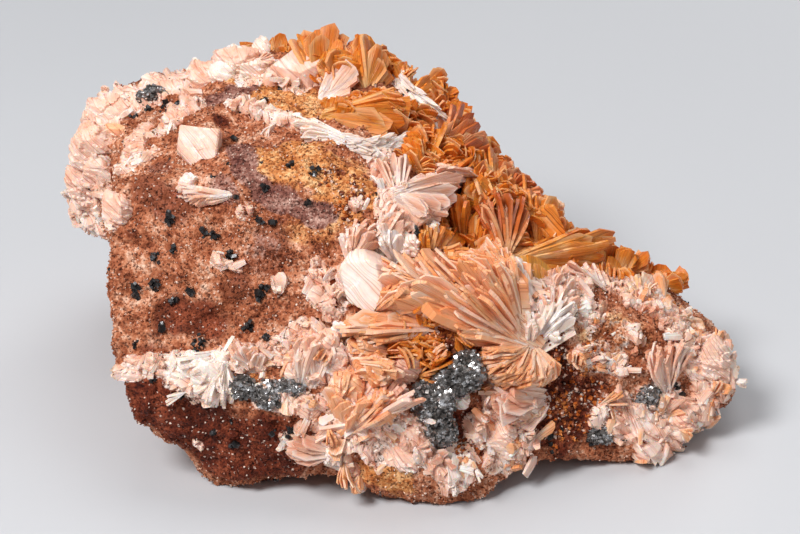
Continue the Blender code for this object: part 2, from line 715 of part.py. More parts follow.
def left_crystals(colours, rock_cutter, settled):
    """Cleaved masses on the left of the face and on the rear left block."""
    grow("barite_lower_left_mass", [
        fan("mass", (-24.0, -19.0, -0.5),
            ((-29.3, -11.7, 2.0), (-37.5, -13.4, 2.0), (-30.0, -21.2, 2.5)), 4.2, 7),
    ], colours["white"], rock_cutter, settled)
    grow("barite_pink_mass", [
        fan("mass", (-12.5, -17.7, -0.5),
            ((-16.2, -11.7, 1.5), (-12.3, -9.2, 2.0), (-8.8, -11.7, 1.5)), 3.0, 5),
    ], colours["pale"], rock_cutter, settled)
    grow("barite_upper_left_block", [
        cleavage_block("block", (-30.2, 17.6, 0.6), (6.2, 4.0, 6.6), (-35, 4, -6),
                       ((3.0, (-0.6, -0.5, -0.7)),)),
    ], colours["pale"], rock_cutter, settled)
    grow("barite_rear_crust", [
        knob("crust_low", (-47.0, 12.5, -0.5), (3.4, 4.0, 4.2), 5),
        knob("crust_middle", (-46.0, 18.0, -0.5), (4.0, 4.0, 4.2), 6),
        knob("crust_high", (-43.5, 23.0, -0.5), (4.4, 4.0, 3.2), 7),
    ], colours["pale"], rock_cutter, settled)
    grow("barite_rear_top", [
        knob("crust", (-24.4, 30.3, -0.2), (4.6, 3.6, 3.6), 12),
        knob("crust_side", (-29.0, 28.2, -0.2), (3.6, 3.2, 2.8), 13),
    ], colours["pale"], rock_cutter, settled)


def lobe_crystals(colours, rock_cutter, settled):
    """The saw toothed crest, plates and tip of the right lobe."""
    grow("barite_crest_ridge", [
        fan("crest", (36.5, -5.5, -1.0),
            ((29.9, -1.0, 1.0), (36.8, 1.2, 1.5), (45.0, -6.0, 1.0)), 4.0, 7),
    ], colours["orange"], rock_cutter, settled)
    grow("barite_crest_root", [
        fan("root", (20.2, -9.2, -0.5),
            ((22.6, -5.6, 2.0), (28.5, -3.6, 2.0), (30.0, -7.7, 1.5)), 3.0, 5),
    ], colours["white"], rock_cutter, settled)
    grow("barite_lobe_plates", [
        fan("plates", (40.2, -18.8, -0.5),
            ((36.0, -11.7, 2.0), (40.2, -8.4, 2.5), (44.6, -10.0, 2.0)), 3.0, 6),
    ], colours["pale"], rock_cutter, settled)
    grow("barite_tip_mass", [
        knob("tip", (47.0, -14.0, -0.8), (3.0, 3.6, 4.2), 10),
        knob("tip_low", (46.2, -18.4, -0.8), (2.6, 3.0, 2.8), 11),
    ], colours["pale"], rock_cutter, settled)


def back_crystals(colours, rock_cutter, settled):
    """Low fans where the crystal slope runs over to the back."""
    grow("barite_back_fan", [
        fan("back", ("around", 50, 8, -0.5),
            (("around", 36, 24, 2.2), ("around", 52, 30, 2.8), ("around", 66, 22, 2.2)), 3.0, 6),
    ], colours["orange"], rock_cutter, settled)
    grow("barite_back_spray", [
        fan("back", ("around", 34, -8, -0.5),
            (("around", 18, 4, 2.0), ("around", 30, 10, 2.2), ("around", 42, 2, 2.0)), 2.6, 5),
    ], colours["pale"], rock_cutter, settled)


def galena_lumps(colours, rock_cutter, settled):
    """The kidney shaped nodule and the smaller patches of galena."""
    grow("galena_nodule", [
        knob("upper", (10.1, -16.2, 0.6), (3.5, 3.0, 3.4), 21),
        knob("lower", (5.6, -20.3, 0.6), (3.3, 2.9, 3.6), 22),
        knob("foot", (6.4, -25.2, 0.0), (2.6, 2.2, 3.0), 23),
    ], colours["galena"], rock_cutter, settled)
    grow("galena_lower_left", [
        knob("first", (-23.6, -18.0, 0.0), (2.5, 1.8, 1.7), 24, 1),
        knob("second", (-19.8, -18.9, 0.0), (2.8, 1.8, 1.9), 25, 1),
        knob("third", (-16.2, -17.9, 0.0), (2.2, 1.6, 1.6), 26, 1),
    ], colours["galena"], rock_cutter, settled)
    grow("galena_rear_left", [
        knob("rear", (-36.8, 25.4, 0.0), (2.8, 1.8, 1.9), 27, 1),
    ], colours["galena"], rock_cutter, settled)
    grow("galena_right_lobe", [
        knob("lobe", (37.2, -19.6, 0.0), (2.2, 1.7, 1.8), 28, 1),
    ], colours["galena"], rock_cutter, settled)
    grow("galena_lobe_foot", [
        knob("foot", (29.8, -25.0, 0.0), (2.4, 1.8, 1.8), 29, 1),
    ], colours["galena"], rock_cutter, settled)


def build():
    """Make the whole specimen and stand it on its feet around the origin."""
    for thing in list(bpy.data.objects):
        bpy.data.objects.remove(thing)
    colours = {
        "rock": finish_colour("rusty_sandstone", (0.36, 0.15, 0.08), 0.85),
        "orange": finish_colour("orange_barite", (0.72, 0.29, 0.08), 0.35),
        "ochre": finish_colour("ochre_barite", (0.62, 0.33, 0.06), 0.35),
        "brown": finish_colour("brown_barite", (0.55, 0.22, 0.08), 0.4),
        "peach": finish_colour("peach_barite", (0.80, 0.45, 0.26), 0.35),
        "pale": finish_colour("pink_barite", (0.80, 0.56, 0.45), 0.4),
        "white": finish_colour("white_barite", (0.86, 0.74, 0.66), 0.45),
        "galena": finish_colour("galena", (0.10, 0.10, 0.10), 0.35, 0.8),
    }
    rock = rock_body("matrix_stone", 0.0)
    rock.data.materials.append(colours["rock"])
    rock_cutter = as_cutter(rock_body("rock_clearance", ROCK_GAP))
    settled = []
    galena_lumps(colours, rock_cutter, settled)
    middle_crystals(colours, rock_cutter, settled)
    hollow_crystals(colours, rock_cutter, settled)
    upper_crystals(colours, rock_cutter, settled)
    top_crystals(colours, rock_cutter, settled)
    left_crystals(colours, rock_cutter, settled)
    lobe_crystals(colours, rock_cutter, settled)
    back_crystals(colours, rock_cutter, settled)
    stand = bpy.data.objects.new("specimen", None)
    bpy.context.scene.collection.objects.link(stand)
    for thing in [rock, rock_cutter] + settled:
        thing.parent = stand
    stand.location = (SHIFT_X * MM, SHIFT_Y * MM, 0.0)


build()
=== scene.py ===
"""The finished look of a barite specimen: rusty sandstone, sheaves of barite blades, galena.

Lengths in this file are millimetres in the specimen's own frame, before it is moved over
its resting point. A mesh is put into metres, and in place, when its piece is made.

A spot on the front is (across, up, lift): across and up are measured in the plane of the
sandy face, looking down at it by VIEW_TILT, and lift is the height off the rock, 0 where it
is left out. ("behind", across, up, back) lies back millimetres behind that plane, and
("around", turn, rise, lift) lies on a side that this view doesn't show.

A part is a dictionary: "points", "faces" as a list of arrays of corner numbers and, where it
has them, "flat", its flat map, and "values", one number a point for each attribute.
"""
import math

import bpy
import numpy as np
from mathutils import Euler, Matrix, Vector
from mathutils.bvhtree import BVHTree


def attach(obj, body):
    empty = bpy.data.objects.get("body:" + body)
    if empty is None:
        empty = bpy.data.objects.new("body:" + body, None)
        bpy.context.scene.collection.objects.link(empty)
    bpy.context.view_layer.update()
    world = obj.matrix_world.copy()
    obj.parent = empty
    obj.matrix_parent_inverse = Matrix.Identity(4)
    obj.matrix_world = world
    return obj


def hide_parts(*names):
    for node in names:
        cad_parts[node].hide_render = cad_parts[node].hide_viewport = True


bl_info = {
    "name": "Barite specimen",
    "version": (1, 0, 0),
    "blender": (4, 5, 0),
    "location": "3D View > Sidebar > Specimen",
    "description": "Grows barite blades, galena and sand on a block of sandstone",
    "category": "Add Mesh",
}

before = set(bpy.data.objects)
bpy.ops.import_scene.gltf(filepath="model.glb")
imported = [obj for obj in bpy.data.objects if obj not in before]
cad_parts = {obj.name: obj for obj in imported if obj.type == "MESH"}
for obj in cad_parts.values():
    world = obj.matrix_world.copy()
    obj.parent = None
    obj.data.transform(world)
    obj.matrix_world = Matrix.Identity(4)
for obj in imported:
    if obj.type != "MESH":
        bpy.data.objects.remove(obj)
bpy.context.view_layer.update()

MM = 0.001
PIXEL = 0.15
VIEW_TILT = 30.0
VIEW_DISTANCE = 350.0
FACE_HEIGHT = 33.46
SHIFT = np.array([0.4, -21.3, 0.0])
CORE = np.array([-4.0, 18.0, 21.0])
FARTHEST = 80.0
EDGE_SOFTNESS = 0.8
REAR_SOFTNESS, LOBE_SOFTNESS, FOOT_SOFTNESS, HOLLOW_SOFTNESS = 2.0, 2.5, 3.0, 1.2

MAIN_FACES = (
    ((-24.0, 1.7, 35.4), (-0.05, -0.82, 0.59)),
    ((-22.5, -12.2, 15.1), (-0.20, -0.97, -0.16)),
    ((3.8, -14.2, 0.0), (0.12, -0.97, 0.13)),
    ((7.5, -10.9, 16.7), (0.43, -0.84, 0.33)),
    ((-20.0, 30.0, 47.0), (0.02, -0.10, 1.0)),
    ((-43.3, 5.0, 22.0), (-0.99, 0.03, -0.08)),
    ((-36.3, -7.5, 7.4), (-0.76, -0.12, -0.64)),
    ((-43.6, -3.0, 19.5), (-0.93, -0.20, -0.32)),
    ((-40.0, 45.0, 41.5), (-0.45, 0.05, 0.89)),
    ((-20.0, 55.5, 30.0), (-0.12, 0.99, 0.12)),
    ((0.0, 50.0, 36.0), (0.30, 0.80, 0.50)),
    ((4.5, 7.6, 37.4), (0.56, -0.10, 0.83)),
    ((24.0, 27.0, 22.0), (0.72, 0.68, 0.10)),
    ((0.0, 47.0, 4.0), (0.10, 0.78, -0.62)),
    ((0.0, 10.0, 1.7), (0.0, 0.0, -1.0)),
    ((-25.0, 52.0, 44.0), (0.0, 0.60, 0.80)),
)
REAR_FACES = (
    ((-45.0, 23.0, 30.0), (-0.62, -0.76, 0.20)),
    ((-52.4, 45.0, 28.0), (-0.99, 0.02, 0.14)),
    ((-53.0, 43.0, 22.6), (-0.36, -0.25, -0.90)),
    ((-51.5, 52.0, 36.8), (-0.36, 0.10, 0.92)),
    ((-53.2, 48.0, 35.0), (-0.80, 0.10, 0.60)),
    ((-42.0, 54.5, 30.0), (-0.20, 0.97, 0.10)),
    ((-30.0, 40.0, 45.0), (-0.25, 0.0, 0.97)),
    ((-28.0, 40.0, 30.0), (0.85, 0.50, 0.10)),
    ((-30.0, 26.0, 30.0), (0.40, -0.90, 0.10)),
    ((-40.0, 50.0, 12.0), (-0.10, 0.50, -0.85)),
    ((-40.0, 52.0, 42.0), (-0.10, 0.62, 0.78)),
)
LOBE_FACES = (
    ((36.7, -1.8, 0.0), (0.34, -0.92, 0.15)),
    ((30.8, 2.6, 19.3), (0.22, -0.82, 0.50)),
    ((40.0, 14.0, 20.6), (0.20, 0.05, 0.96)),
    ((47.0, 17.0, 15.7), (0.62, 0.10, 0.78)),
    ((52.8, 10.6, 9.4), (0.98, -0.10, 0.10)),
    ((45.0, 24.0, 12.0), (0.45, 0.85, 0.20)),
    ((46.5, 6.0, 2.6), (0.42, -0.10, -0.90)),
    ((25.0, 27.0, 12.0), (-0.10, 0.97, 0.10)),
    ((6.0, 8.0, 10.0), (-1.0, 0.0, 0.0)),
    ((30.0, 10.0, 1.6), (0.0, 0.0, -1.0)),
)
FEET = (
    ((3.8, -9.6, 3.6), (7.5, 6.0, 6.0)),
    ((-24.5, -5.0, 3.6), (6.0, 6.0, 6.0)),
    ((36.0, 3.5, 3.4), (6.5, 6.0, 5.6)),
    ((-20.0, 40.0, 3.6), (9.0, 8.0, 6.2)),
    ((12.0, 24.0, 3.4), (7.0, 7.0, 5.8)),
)
HOLLOWS = (
    ((-11.5, -13.0, -1.6), (8.5, 9.0, 5.2)),
    ((20.5, -7.0, -2.2), (12.5, 9.0, 5.6)),
    ((13.0, 10.5, 35.5), (9.5, 8.0, 6.0)),
    ((-24.0, 62.0, 17.0), (17.0, 9.5, 11.0)),
    ((12.0, 50.0, 22.0), (13.0, 8.0, 12.0)),
    ((-57.0, 18.0, 15.0), (14.5, 15.0, 9.0)),
)
WAVES = ((12.0, 0.9, 31), (5.0, 0.4, 41))


def soft_union(first, second, softness):
    """The smaller of two distances, rounded where they cross."""
    blend = np.clip(0.5 + 0.5 * (second - first) / softness, 0.0, 1.0)
    return second * (1 - blend) + first * blend - softness * blend * (1 - blend)


def block_distance(points, faces):
    """Distance to a convex block of planes: a soft maximum over its faces."""
    normals = np.array([face[1] for face in faces], float)
    normals /= np.linalg.norm(normals, axis=1, keepdims=True)
    heights = np.sum(normals * np.array([face[0] for face in faces], float), axis=1)
    signed = (points @ normals.T - heights) / EDGE_SOFTNESS
    highest = signed.max(axis=-1)
    return EDGE_SOFTNESS * (highest + np.log(np.exp(signed - highest[..., None]).sum(axis=-1)))


def ball_distance(points, centre, radii):
    """Rough distance to an ellipsoid."""
    scaled = (points - np.array(centre)) / np.array(radii)
    return (np.linalg.norm(scaled, axis=-1) - 1.0) * min(radii)


def lattice_value(cells, seed):
    """A fixed value from 0 to 1 for each whole numbered cell of space."""
    mask = np.int64(0xFFFFFFFF)
    mixed = (cells[..., 0] * 73856093) ^ (cells[..., 1] * 19349663) ^ (cells[..., 2] * 83492791)
    mixed = (mixed + seed * 40503) & mask
    mixed = ((mixed ^ (mixed >> 15)) * 739391) & mask
    mixed = ((mixed ^ (mixed >> 13)) * 561649) & mask
    return ((mixed ^ (mixed >> 16)) & 0xFFFF) / 65535.0


def noise(points, size, seed):
    """Smooth noise from -1 to 1: cell values blended across each cell of the given size."""
    scaled = points / size
    cells = np.floor(scaled).astype(np.int64)
    part = scaled - cells
    part = part * part * (3 - 2 * part)
    total = np.zeros(points.shape[:-1])
    for corner in np.ndindex(2, 2, 2):
        corner = np.array(corner)
        weight = np.prod(np.where(corner == 1, part, 1 - part), axis=-1)
        total += weight * lattice_value(cells + corner, seed)
    return 2 * total - 1


def drift(points, size, seed, count=3):
    """Smooth noise along each of so many directions."""
    return np.stack([noise(points, size, seed + axis) for axis in range(count)], axis=-1)


def wavy(points):
    """Points shifted by smooth noise, so that flat breaks turn out uneven."""
    shift = np.zeros_like(points)
    for size, height, seed in WAVES:
        shift += height * drift(points, size, seed)
    return points + shift


def rock_distance(points, waves=True):
    """Distance from the rock's surface, below zero inside the rock."""
    if waves:
        points = wavy(points)
    distance = soft_union(block_distance(points, MAIN_FACES), block_distance(points, REAR_FACES),
                          REAR_SOFTNESS)
    distance = soft_union(distance, block_distance(points, LOBE_FACES), LOBE_SOFTNESS)
    for centre, radii in FEET:
        distance = soft_union(distance, ball_distance(points, centre, radii), FOOT_SOFTNESS)
    for centre, radii in HOLLOWS:
        distance = -soft_union(-distance, ball_distance(points, centre, radii), HOLLOW_SOFTNESS)
    return distance


def march(rays, waves):
    """How far each ray runs from the core to the rock's outermost surface."""
    inside = np.full(len(rays), 1.0)
    outside = np.full(len(rays), FARTHEST)
    found = np.zeros(len(rays), bool)
    for reach in np.linspace(FARTHEST, 1.0, 100):
        hit = (rock_distance(CORE + rays * reach, waves) < 0) & ~found
        inside[hit] = reach
        outside[~found & ~hit] = reach
        found |= hit
    return halve(rays, inside, outside, 8)


def halve(rays, inside, outside, times):
    """The surface between two lengths along each ray, by halving the span so many times."""
    for _ in range(times):
        middle = 0.5 * (inside + outside)
        within = rock_distance(CORE + rays * middle[:, None]) < 0
        inside = np.where(within, middle, inside)
        outside = np.where(within, outside, middle)
    return inside


def ray_grid(rows, columns):
    """Directions from the core, rows from the left end to the right, columns round the long axis.

    Columns crowd towards the front and the top, which carry the finest detail.
    """
    along = np.linspace(0.0, math.pi, rows)
    turn = np.linspace(0.0, 2 * math.pi, columns, endpoint=False)
    turn = turn - 0.4 * np.sin(turn - math.radians(155.0))
    along, turn = np.meshgrid(along, turn, indexing="ij")
    rays = np.stack([-54 * np.cos(along), 38 * np.sin(along) * np.cos(turn),
                     28 * np.sin(along) * np.sin(turn)], axis=-1)
    return rays / np.linalg.norm(rays, axis=-1, keepdims=True)


def resampled(values, rows, columns):
    """A grid of values blended up to more rows and more columns, which run round in a ring."""
    row = np.linspace(0, values.shape[0] - 1, rows)
    column = np.linspace(0, values.shape[1], columns, endpoint=False)
    low_row = np.minimum(row.astype(int), values.shape[0] - 2)
    low_column = column.astype(int)
    next_column = (low_column + 1) % values.shape[1]
    part_row = (row - low_row)[:, None]
    part_column = (column - low_column)[None, :]
    first, second = [values[lines][:, low_column] * (1 - part_column)
                     + values[lines][:, next_column] * part_column for lines in (low_row, low_row + 1)]
    return first * (1 - part_row) + second * part_row


def rock_skin(rows, columns):
    """Points of the rock's smooth surface on a grid of rays: a coarse march, then halving near it."""
    coarse_shape, margin = (72, 80), 4.0
    coarse = march(ray_grid(*coarse_shape).reshape(-1, 3), False).reshape(coarse_shape)
    reach = resampled(coarse, rows, columns).ravel()
    rays = ray_grid(rows, columns).reshape(-1, 3)
    inside = np.maximum(reach - margin, 1.0)
    outside = reach + margin
    astray = ((rock_distance(CORE + rays * inside[:, None]) > 0)
              | (rock_distance(CORE + rays * outside[:, None]) < 0))
    reach = halve(rays, inside, outside, 9)
    if astray.any():
        reach[astray] = march(rays[astray], True)
    return (CORE + rays * reach[:, None]).reshape(rows, columns, 3)


def from_view(across, back, up):
    """Points of the viewer's frame in the specimen's own frame."""
    tilt = math.radians(VIEW_TILT)
    depth = back * math.cos(tilt) + up * math.sin(tilt)
    height = up * math.cos(tilt) - back * math.sin(tilt) + FACE_HEIGHT
    return np.stack(np.broadcast_arrays(across, depth, height), axis=-1).astype(float)


def view_line(back):
    """The way from the middle of the face to a place so far straight behind it."""
    return from_view(0.0, back, 0.0) - from_view(0.0, 0.0, 0.0)


def at_depth(across, up, back):
    """A place seen at (across, up) on the face's plane, lying back millimetres behind it."""
    widen = (VIEW_DISTANCE + back) / VIEW_DISTANCE
    return from_view(across * widen, back, up * widen)


def nearest_pass(across, up, lift):
    """Where a line of sight that misses the rock comes closest to it, lift millimetres nearer."""
    steps = np.linspace(-16.0, 60.0, 153)
    line = np.stack([at_depth(across, up, step) for step in steps])
    return at_depth(across, up, steps[int(np.argmin(rock_distance(line)))] - lift)


ROCK = {}


def on_rock(across, up, lift=0.0):
    """A place seen at (across, up), lift millimetres in front of the finished rock."""
    eye = from_view(0.0, -VIEW_DISTANCE, 0.0)
    sight = at_depth(across, up, 0.0) - eye
    hit = ROCK["tree"].ray_cast(Vector(eye), Vector(sight / np.linalg.norm(sight)))[0]
    if hit is None:
        return nearest_pass(across, up, lift)
    back = float((np.array(hit) - eye) @ view_line(1.0)) - VIEW_DISTANCE
    return at_depth(across, up, back - lift)


def around(turn, rise, lift=0.0):
    """A place on the rock along a ray from its core, turned and raised by so many degrees."""
    flat = math.cos(math.radians(rise))
    ray = np.array([flat * math.cos(math.radians(turn)), flat * math.sin(math.radians(turn)),
                    math.sin(math.radians(rise))])
    hit = ROCK["tree"].ray_cast(Vector(CORE + ray * 90.0), Vector(-ray))[0]
    return np.array(hit) + ray * lift


def place(spot):
    """Where a spot lies: on the front, behind it, or around a side."""
    if spot[0] == "around":
        return around(*spot[1:])
    if spot[0] == "behind":
        return at_depth(*spot[1:])
    return on_rock(*spot)


def unit(vectors):
    """Vectors brought to length one."""
    return vectors / np.maximum(np.linalg.norm(vectors, axis=-1, keepdims=True), 1e-9)


def smooth_step(value, low, high):
    """0 below low, 1 above high, and an even slope with soft ends between them."""
    share = np.clip((value - low) / (high - low), 0.0, 1.0)
    return share * share * (3 - 2 * share)


def grid_quads(rows, columns):
    """Corner numbers of the quads of a grid whose last column meets its first."""
    row, column = np.meshgrid(np.arange(rows - 1), np.arange(columns), indexing="ij")
    right = (column + 1) % columns
    quads = np.stack([row * columns + column, row * columns + right,
                      (row + 1) * columns + right, (row + 1) * columns + column], axis=-1)
    return quads.reshape(-1, 4)


def closed_grid(rows, columns):
    """Faces of a grid whose first and last row are one point each, and which of its points stay.

    Quads between the two poles, and a ring of triangles round each.
    """
    quads = grid_quads(rows, columns)
    quads = quads[(quads >= columns).all(axis=1) & (quads < (rows - 1) * columns).all(axis=1)]
    ring = np.arange(columns)
    following = (ring + 1) % columns
    last_row = (rows - 2) * columns
    first_cap = np.stack([np.zeros(columns, int), columns + following, columns + ring], axis=1)
    last_cap = np.stack([np.full(columns, last_row + columns), last_row + ring, last_row + following], axis=1)
    keep = np.ones(rows * columns, bool)
    keep[1:columns] = False
    keep[(rows - 1) * columns + 1:] = False
    renumber = np.cumsum(keep) - 1
    return [renumber[block] for block in (quads, first_cap, last_cap)], keep


def settled(points):
    """The same points, with none below the resting plane."""
    points[..., 2] = np.maximum(points[..., 2], 0.0)
    return points


def linear(colour):
    """A colour seen on a screen, 0 to 255 a channel, as the linear values that a shader takes."""
    share = np.array(colour, float) / 255.0
    return tuple(np.where(share <= 0.04045, share / 12.92, ((share + 0.055) / 1.055) ** 2.4)) + (1.0,)


def make_piece(name, part, material, sharp=None, replaces=()):
    """A part as a mesh in place, on the specimen's body. Edges over sharp degrees stay sharp."""
    mesh = bpy.data.meshes.new(name)
    corners = [face for block in part["faces"] for face in block.tolist()]
    mesh.from_pydata(((part["points"] + SHIFT) * MM).tolist(), [], corners)
    mesh.update()
    for label, numbers in part.get("values", {}).items():
        layer = mesh.attributes.new(label, "FLOAT", "POINT")
        layer.data.foreach_set("value", np.asarray(numbers, np.float32).ravel())
    if "flat" in part:
        layer = mesh.uv_layers.new(name="fibres")
        where = np.zeros(len(mesh.loops), np.int32)
        mesh.loops.foreach_get("vertex_index", where)
        layer.data.foreach_set("uv", np.asarray(part["flat"], np.float32)[where].ravel())
    if sharp is None:
        mesh.shade_flat()
    else:
        mesh.shade_smooth()
        mesh.set_sharp_from_angle(angle=math.radians(sharp))
    mesh.materials.append(material)
    piece = bpy.data.objects.new(name, mesh)
    bpy.context.scene.collection.objects.link(piece)
    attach(piece, "root")
    if replaces:
        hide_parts(*replaces)


def zone_mask(points, strokes, seed):
    """How far each point belongs to a zone of the rock, from 0 to 1.

    A zone is a list of strokes: half the width of a line on the rock, its strength and its
    spots. Near the line the mask is the strength, and noise makes its edge ragged.
    """
    mask = np.zeros(points.shape[:-1])
    ragged = 1.0 + 0.45 * noise(points, 3.4, seed) + 0.25 * noise(points, 1.3, seed + 1)
    for width, strength, *spots in strokes:
        knots = np.array([place(spot) for spot in spots])
        nearest = np.full(points.shape[:-1], 1e9)
        for start, end in zip(knots, knots[1:] if len(knots) > 1 else knots):
            ahead = end - start
            share = np.clip((points - start) @ ahead / max(ahead @ ahead, 1e-9), 0.0, 1.0)
            nearest = np.minimum(nearest, np.linalg.norm(points - start - share[..., None] * ahead, axis=-1))
        mask = np.maximum(mask, strength * smooth_step(-nearest / (width * ragged), -1.25, -0.55))
    return mask


# For each zone its strokes: half width, strength, and the spots of the line.
ZONES = {
    "pale": (
        (2.6, 0.9, (-24, -14), (-18, -12.5), (-13.5, -13)), (2.2, 0.85, (-20.5, -19.5), (-13.5, -21)),
        (4, 0.8, (-9.5, -21), (3, -25.5), (8, -29.5)), (2.2, 0.7, (-11, -5), (-12.5, 0.5)),
        (3, 0.8, (12, -24.5), (17, -29)), (2.2, 1, (-38.7, 20.1), (-39.9, 17), (-40.4, 14.9)),
        (2, 0.7, (-36.8, 17.6)), (1.9, 1, (-25.2, 24.3), (-21.3, 23.2), (-17, 21.9), (-12.9, 20.6)),
        (1.8, 0.9, (-33.8, 23.9), (-30.8, 26.9)), (0.9, 0.7, (-27.8, 0.8), (-24, -0.2)),
        (1.3, 0.9, (-18, -2.4)), (1.5, 0.6, (-23.3, 8.3)),
        (3, 1, (-3.3, 16.8), (-1.8, 12.3), (-0.8, 8.3), (0, 4.1)), (1.8, 0.6, (-6.8, 9.3)),
        (2, 0.8, (-8.3, -3.5), (-9.8, -6.5)), (3, 1, (-15, -10.2), (-13.2, -15.5)),
        (4.5, 1, (-8.3, -14), (-7, -19)), (1.2, 0.8, (-17.3, -25.5), (-12, -27.5), (-8.3, -28.7)),
        (1.2, 0.8, (-15, -23.7)), (3.4, 0.9, (-6, -24.5), (-1.5, -26)), (1.8, 0.7, (-7.5, -30.5)),
        (2, 1, (9, -19.2)), (3.4, 0.95, (15, -20), (18, -24.5), (15, -28.2)),
        (2, 0.7, (2.3, -28.2), (6, -30.5)), (5.5, 1, (36.5, -4), (43.5, -9.5), (47.3, -15.5)),
        (1.8, 1, (33, -14.7), (27, -13.2)), (2.6, 0.8, (30, -22.2), (32.5, -20.7)), (4.5, 0.8, (42, -23)),
        (4, 1, (19.5, -5), (26.3, -3.5)), (3, 0.8, (28.5, -6.5)), (3, 0.75, (-12, -24), (-2, -21.5)),
        (2.2, 0.7, (-3, -28.5), (1.5, -29)), (3.4, 0.75, (34, -25), (40, -20)),
        (4.2, 0.8, (37, -27.5), (44, -22.5)), (3.4, 0.47, (30.5, -10.6), (34.5, -11.5)),
        (2.4, 0.7, (-36, 20.5), (-30.5, 24.5)), (6, 0.95, (-45.8, 23.6), (-47.3, 16.1), (-46.5, 8.6)),
        (4.8, 0.95, (-40.5, 25), (-34.5, 27.3), (-29.3, 29.6)),
        (4, 0.95, (-24.8, 31.1), (-20.7, 28.8), (-15, 28)), (1.6, 0.5, (-42.8, 6.3)),
        (1.3, 0.7, (-30.2, -26.7)), (2.2, 1, (-41.3, -15.8), (-37.5, -14.3), (-33, -15)),
        (3.4, 1, (-33, -15.2), (-28, -17)),
    ),
    "ochre": (
        (5.5, 0.9, (-19.5, 16.1), (-13.5, 15.3), (-7.5, 10.8)),
        (4.4, 1, (-20.5, 25.8), (-16.5, 25.4), (-12.5, 24.4)), (4.2, 0.42, (30, -10.4), (34.5, -11.5)),
        (2.2, 1, (-24, 27.8)), (1.6, 1, (0.8, 0.8)), (3, 0.8, (-4.5, -30.5), (0, -32.7)),
        (2, 1, (24, -23.7)), (2, 1, (16.5, -8.7)), (3, 0.5, (-12, 5.5), (-15, 6.3)),
        (2.5, 0.6, (-21.8, -14.7)),
    ),
    "stain": (
        (2, 1, (-27.8, 25.1), (-22.5, 26.9)),
        (2.4, 1, (-24.3, 17.6), (-22.8, 13.4), (-18.8, 10.1), (-12, 7.8)), (3, 0.6, (-26.3, 11.6)),
        (2.4, 0.5, (-36, 15)), (4, 0.4, (-20.3, 1.8)),
    ),
    # Real rust, and painted shade: the broad stroke over the lower left lies on the underside face, which
    # faces down, out of the light.
    "rust": (
        (3.2, 0.5, (-38.3, 11.6), (-33.8, 9.3)), (3.4, 0.6, (-35.3, -7.2), (-28.5, -8)),
        (3, 0.5, (-24.8, -3.5)), (3.4, 0.45, (-18.8, 4.1)), (3, 0.9, (9.8, -23.7), (7.5, -28.2)),
        (4, 1, (22.5, -17), (27, -20), (24, -24.5)), (2.2, 0.9, (-12.8, -22.2), (-9, -24.5)),
        (1.5, 0.9, (-27, 22.1)), (7, 0.8, (-36, -20), (-27, -26), (-16.5, -27.5)), (2.5, 0.9, (-3, -14)),
        (3, 1, (6, -11.7)), (2.8, 1, (21.8, -11.7)),
    ),
    "growth": (
        (4.5, 1, (-11.3, 30.3), (-1.5, 29.5)), (4, 1, (-7.5, 23.5), (2, 22)),
        (5.5, 1, (3, 17), (10.5, 15.3), (18, 8.5), (24, 3.3)), (5, 1, (6, 5.5), (13.5, 4.8)),
        (5.5, 0.5, (3, -5), (12, -5)), (3.5, 1, (-1.5, -11), (4, -14)),
        (2.2, 0.6, (30, -0.5), (37, 0.5), (44, -5)),
        (9, 1, ("around", 20, 22), ("around", 45, 22), ("around", 70, 24)), (6, 0.8, ("around", 36, 2)),
        (5, 0.7, ("around", 95, 34), ("around", 120, 36)),
    ),
    "white": (
        (3, 0.6, (-34, -14.6), (-28.5, -15.5), (-28, -20)), (3, 0.6, (19.5, -6), (26.5, -8)),
        (2, 0.5, (-12, 20.6), (-4, 17.5), (0, 10)), (1.4, 0.6, (4.5, 7.5), (4.8, 2)),
        (2.4, 0.5, (32.5, -14), (30, -21.5)), (1.6, 0.35, (-9, -9.5), (-2, -27)),
        (2.2, 0.4, (-36, 26.5), (-24, 31)),
    ),
}


def facet_cells(points, size, seed):
    """Small tilted flats: each point takes the height and the tone of the nearest scattered centre."""
    scaled = points / size
    cells = np.floor(scaled).astype(np.int64)
    nearest = np.full(points.shape[:-1], 1e9)
    height = np.zeros(points.shape[:-1])
    tone = np.zeros(points.shape[:-1])
    for corner in np.ndindex(3, 3, 3):
        cell = cells + np.array(corner) - 1
        centre = cell + np.stack([lattice_value(cell, seed + axis) for axis in range(3)], axis=-1)
        apart = scaled - centre
        distance = np.linalg.norm(apart, axis=-1)
        tilt = np.stack([lattice_value(cell, seed + 3 + axis) - 0.5 for axis in range(3)], axis=-1)
        plane = np.sum(apart * tilt, axis=-1) * 1.6 + lattice_value(cell, seed + 6) - 0.5
        closer = distance < nearest
        nearest = np.where(closer, distance, nearest)
        height = np.where(closer, plane, height)
        tone = np.where(closer, lattice_value(cell, seed + 7), tone)
    return height, tone


def facets(points, size, seed):
    """Heights of small tilted flats."""
    return facet_cells(points, size, seed)[0]


def grid_normals(points):
    """Outward normals of a grid whose columns run round in a ring."""
    along = np.gradient(points, axis=0)
    aside = np.roll(points, -1, axis=1) - np.roll(points, 1, axis=1)
    normals = unit(np.cross(aside, along))
    outward = np.sum(normals * (points - CORE), axis=-1, keepdims=True)
    return np.where(outward < 0, -normals, normals)


FLOW = np.array([[0.62, 0.28, 0.73], [0.74, 0.2, -0.64]])
CRUST_EDGE = (0.26, 0.6)


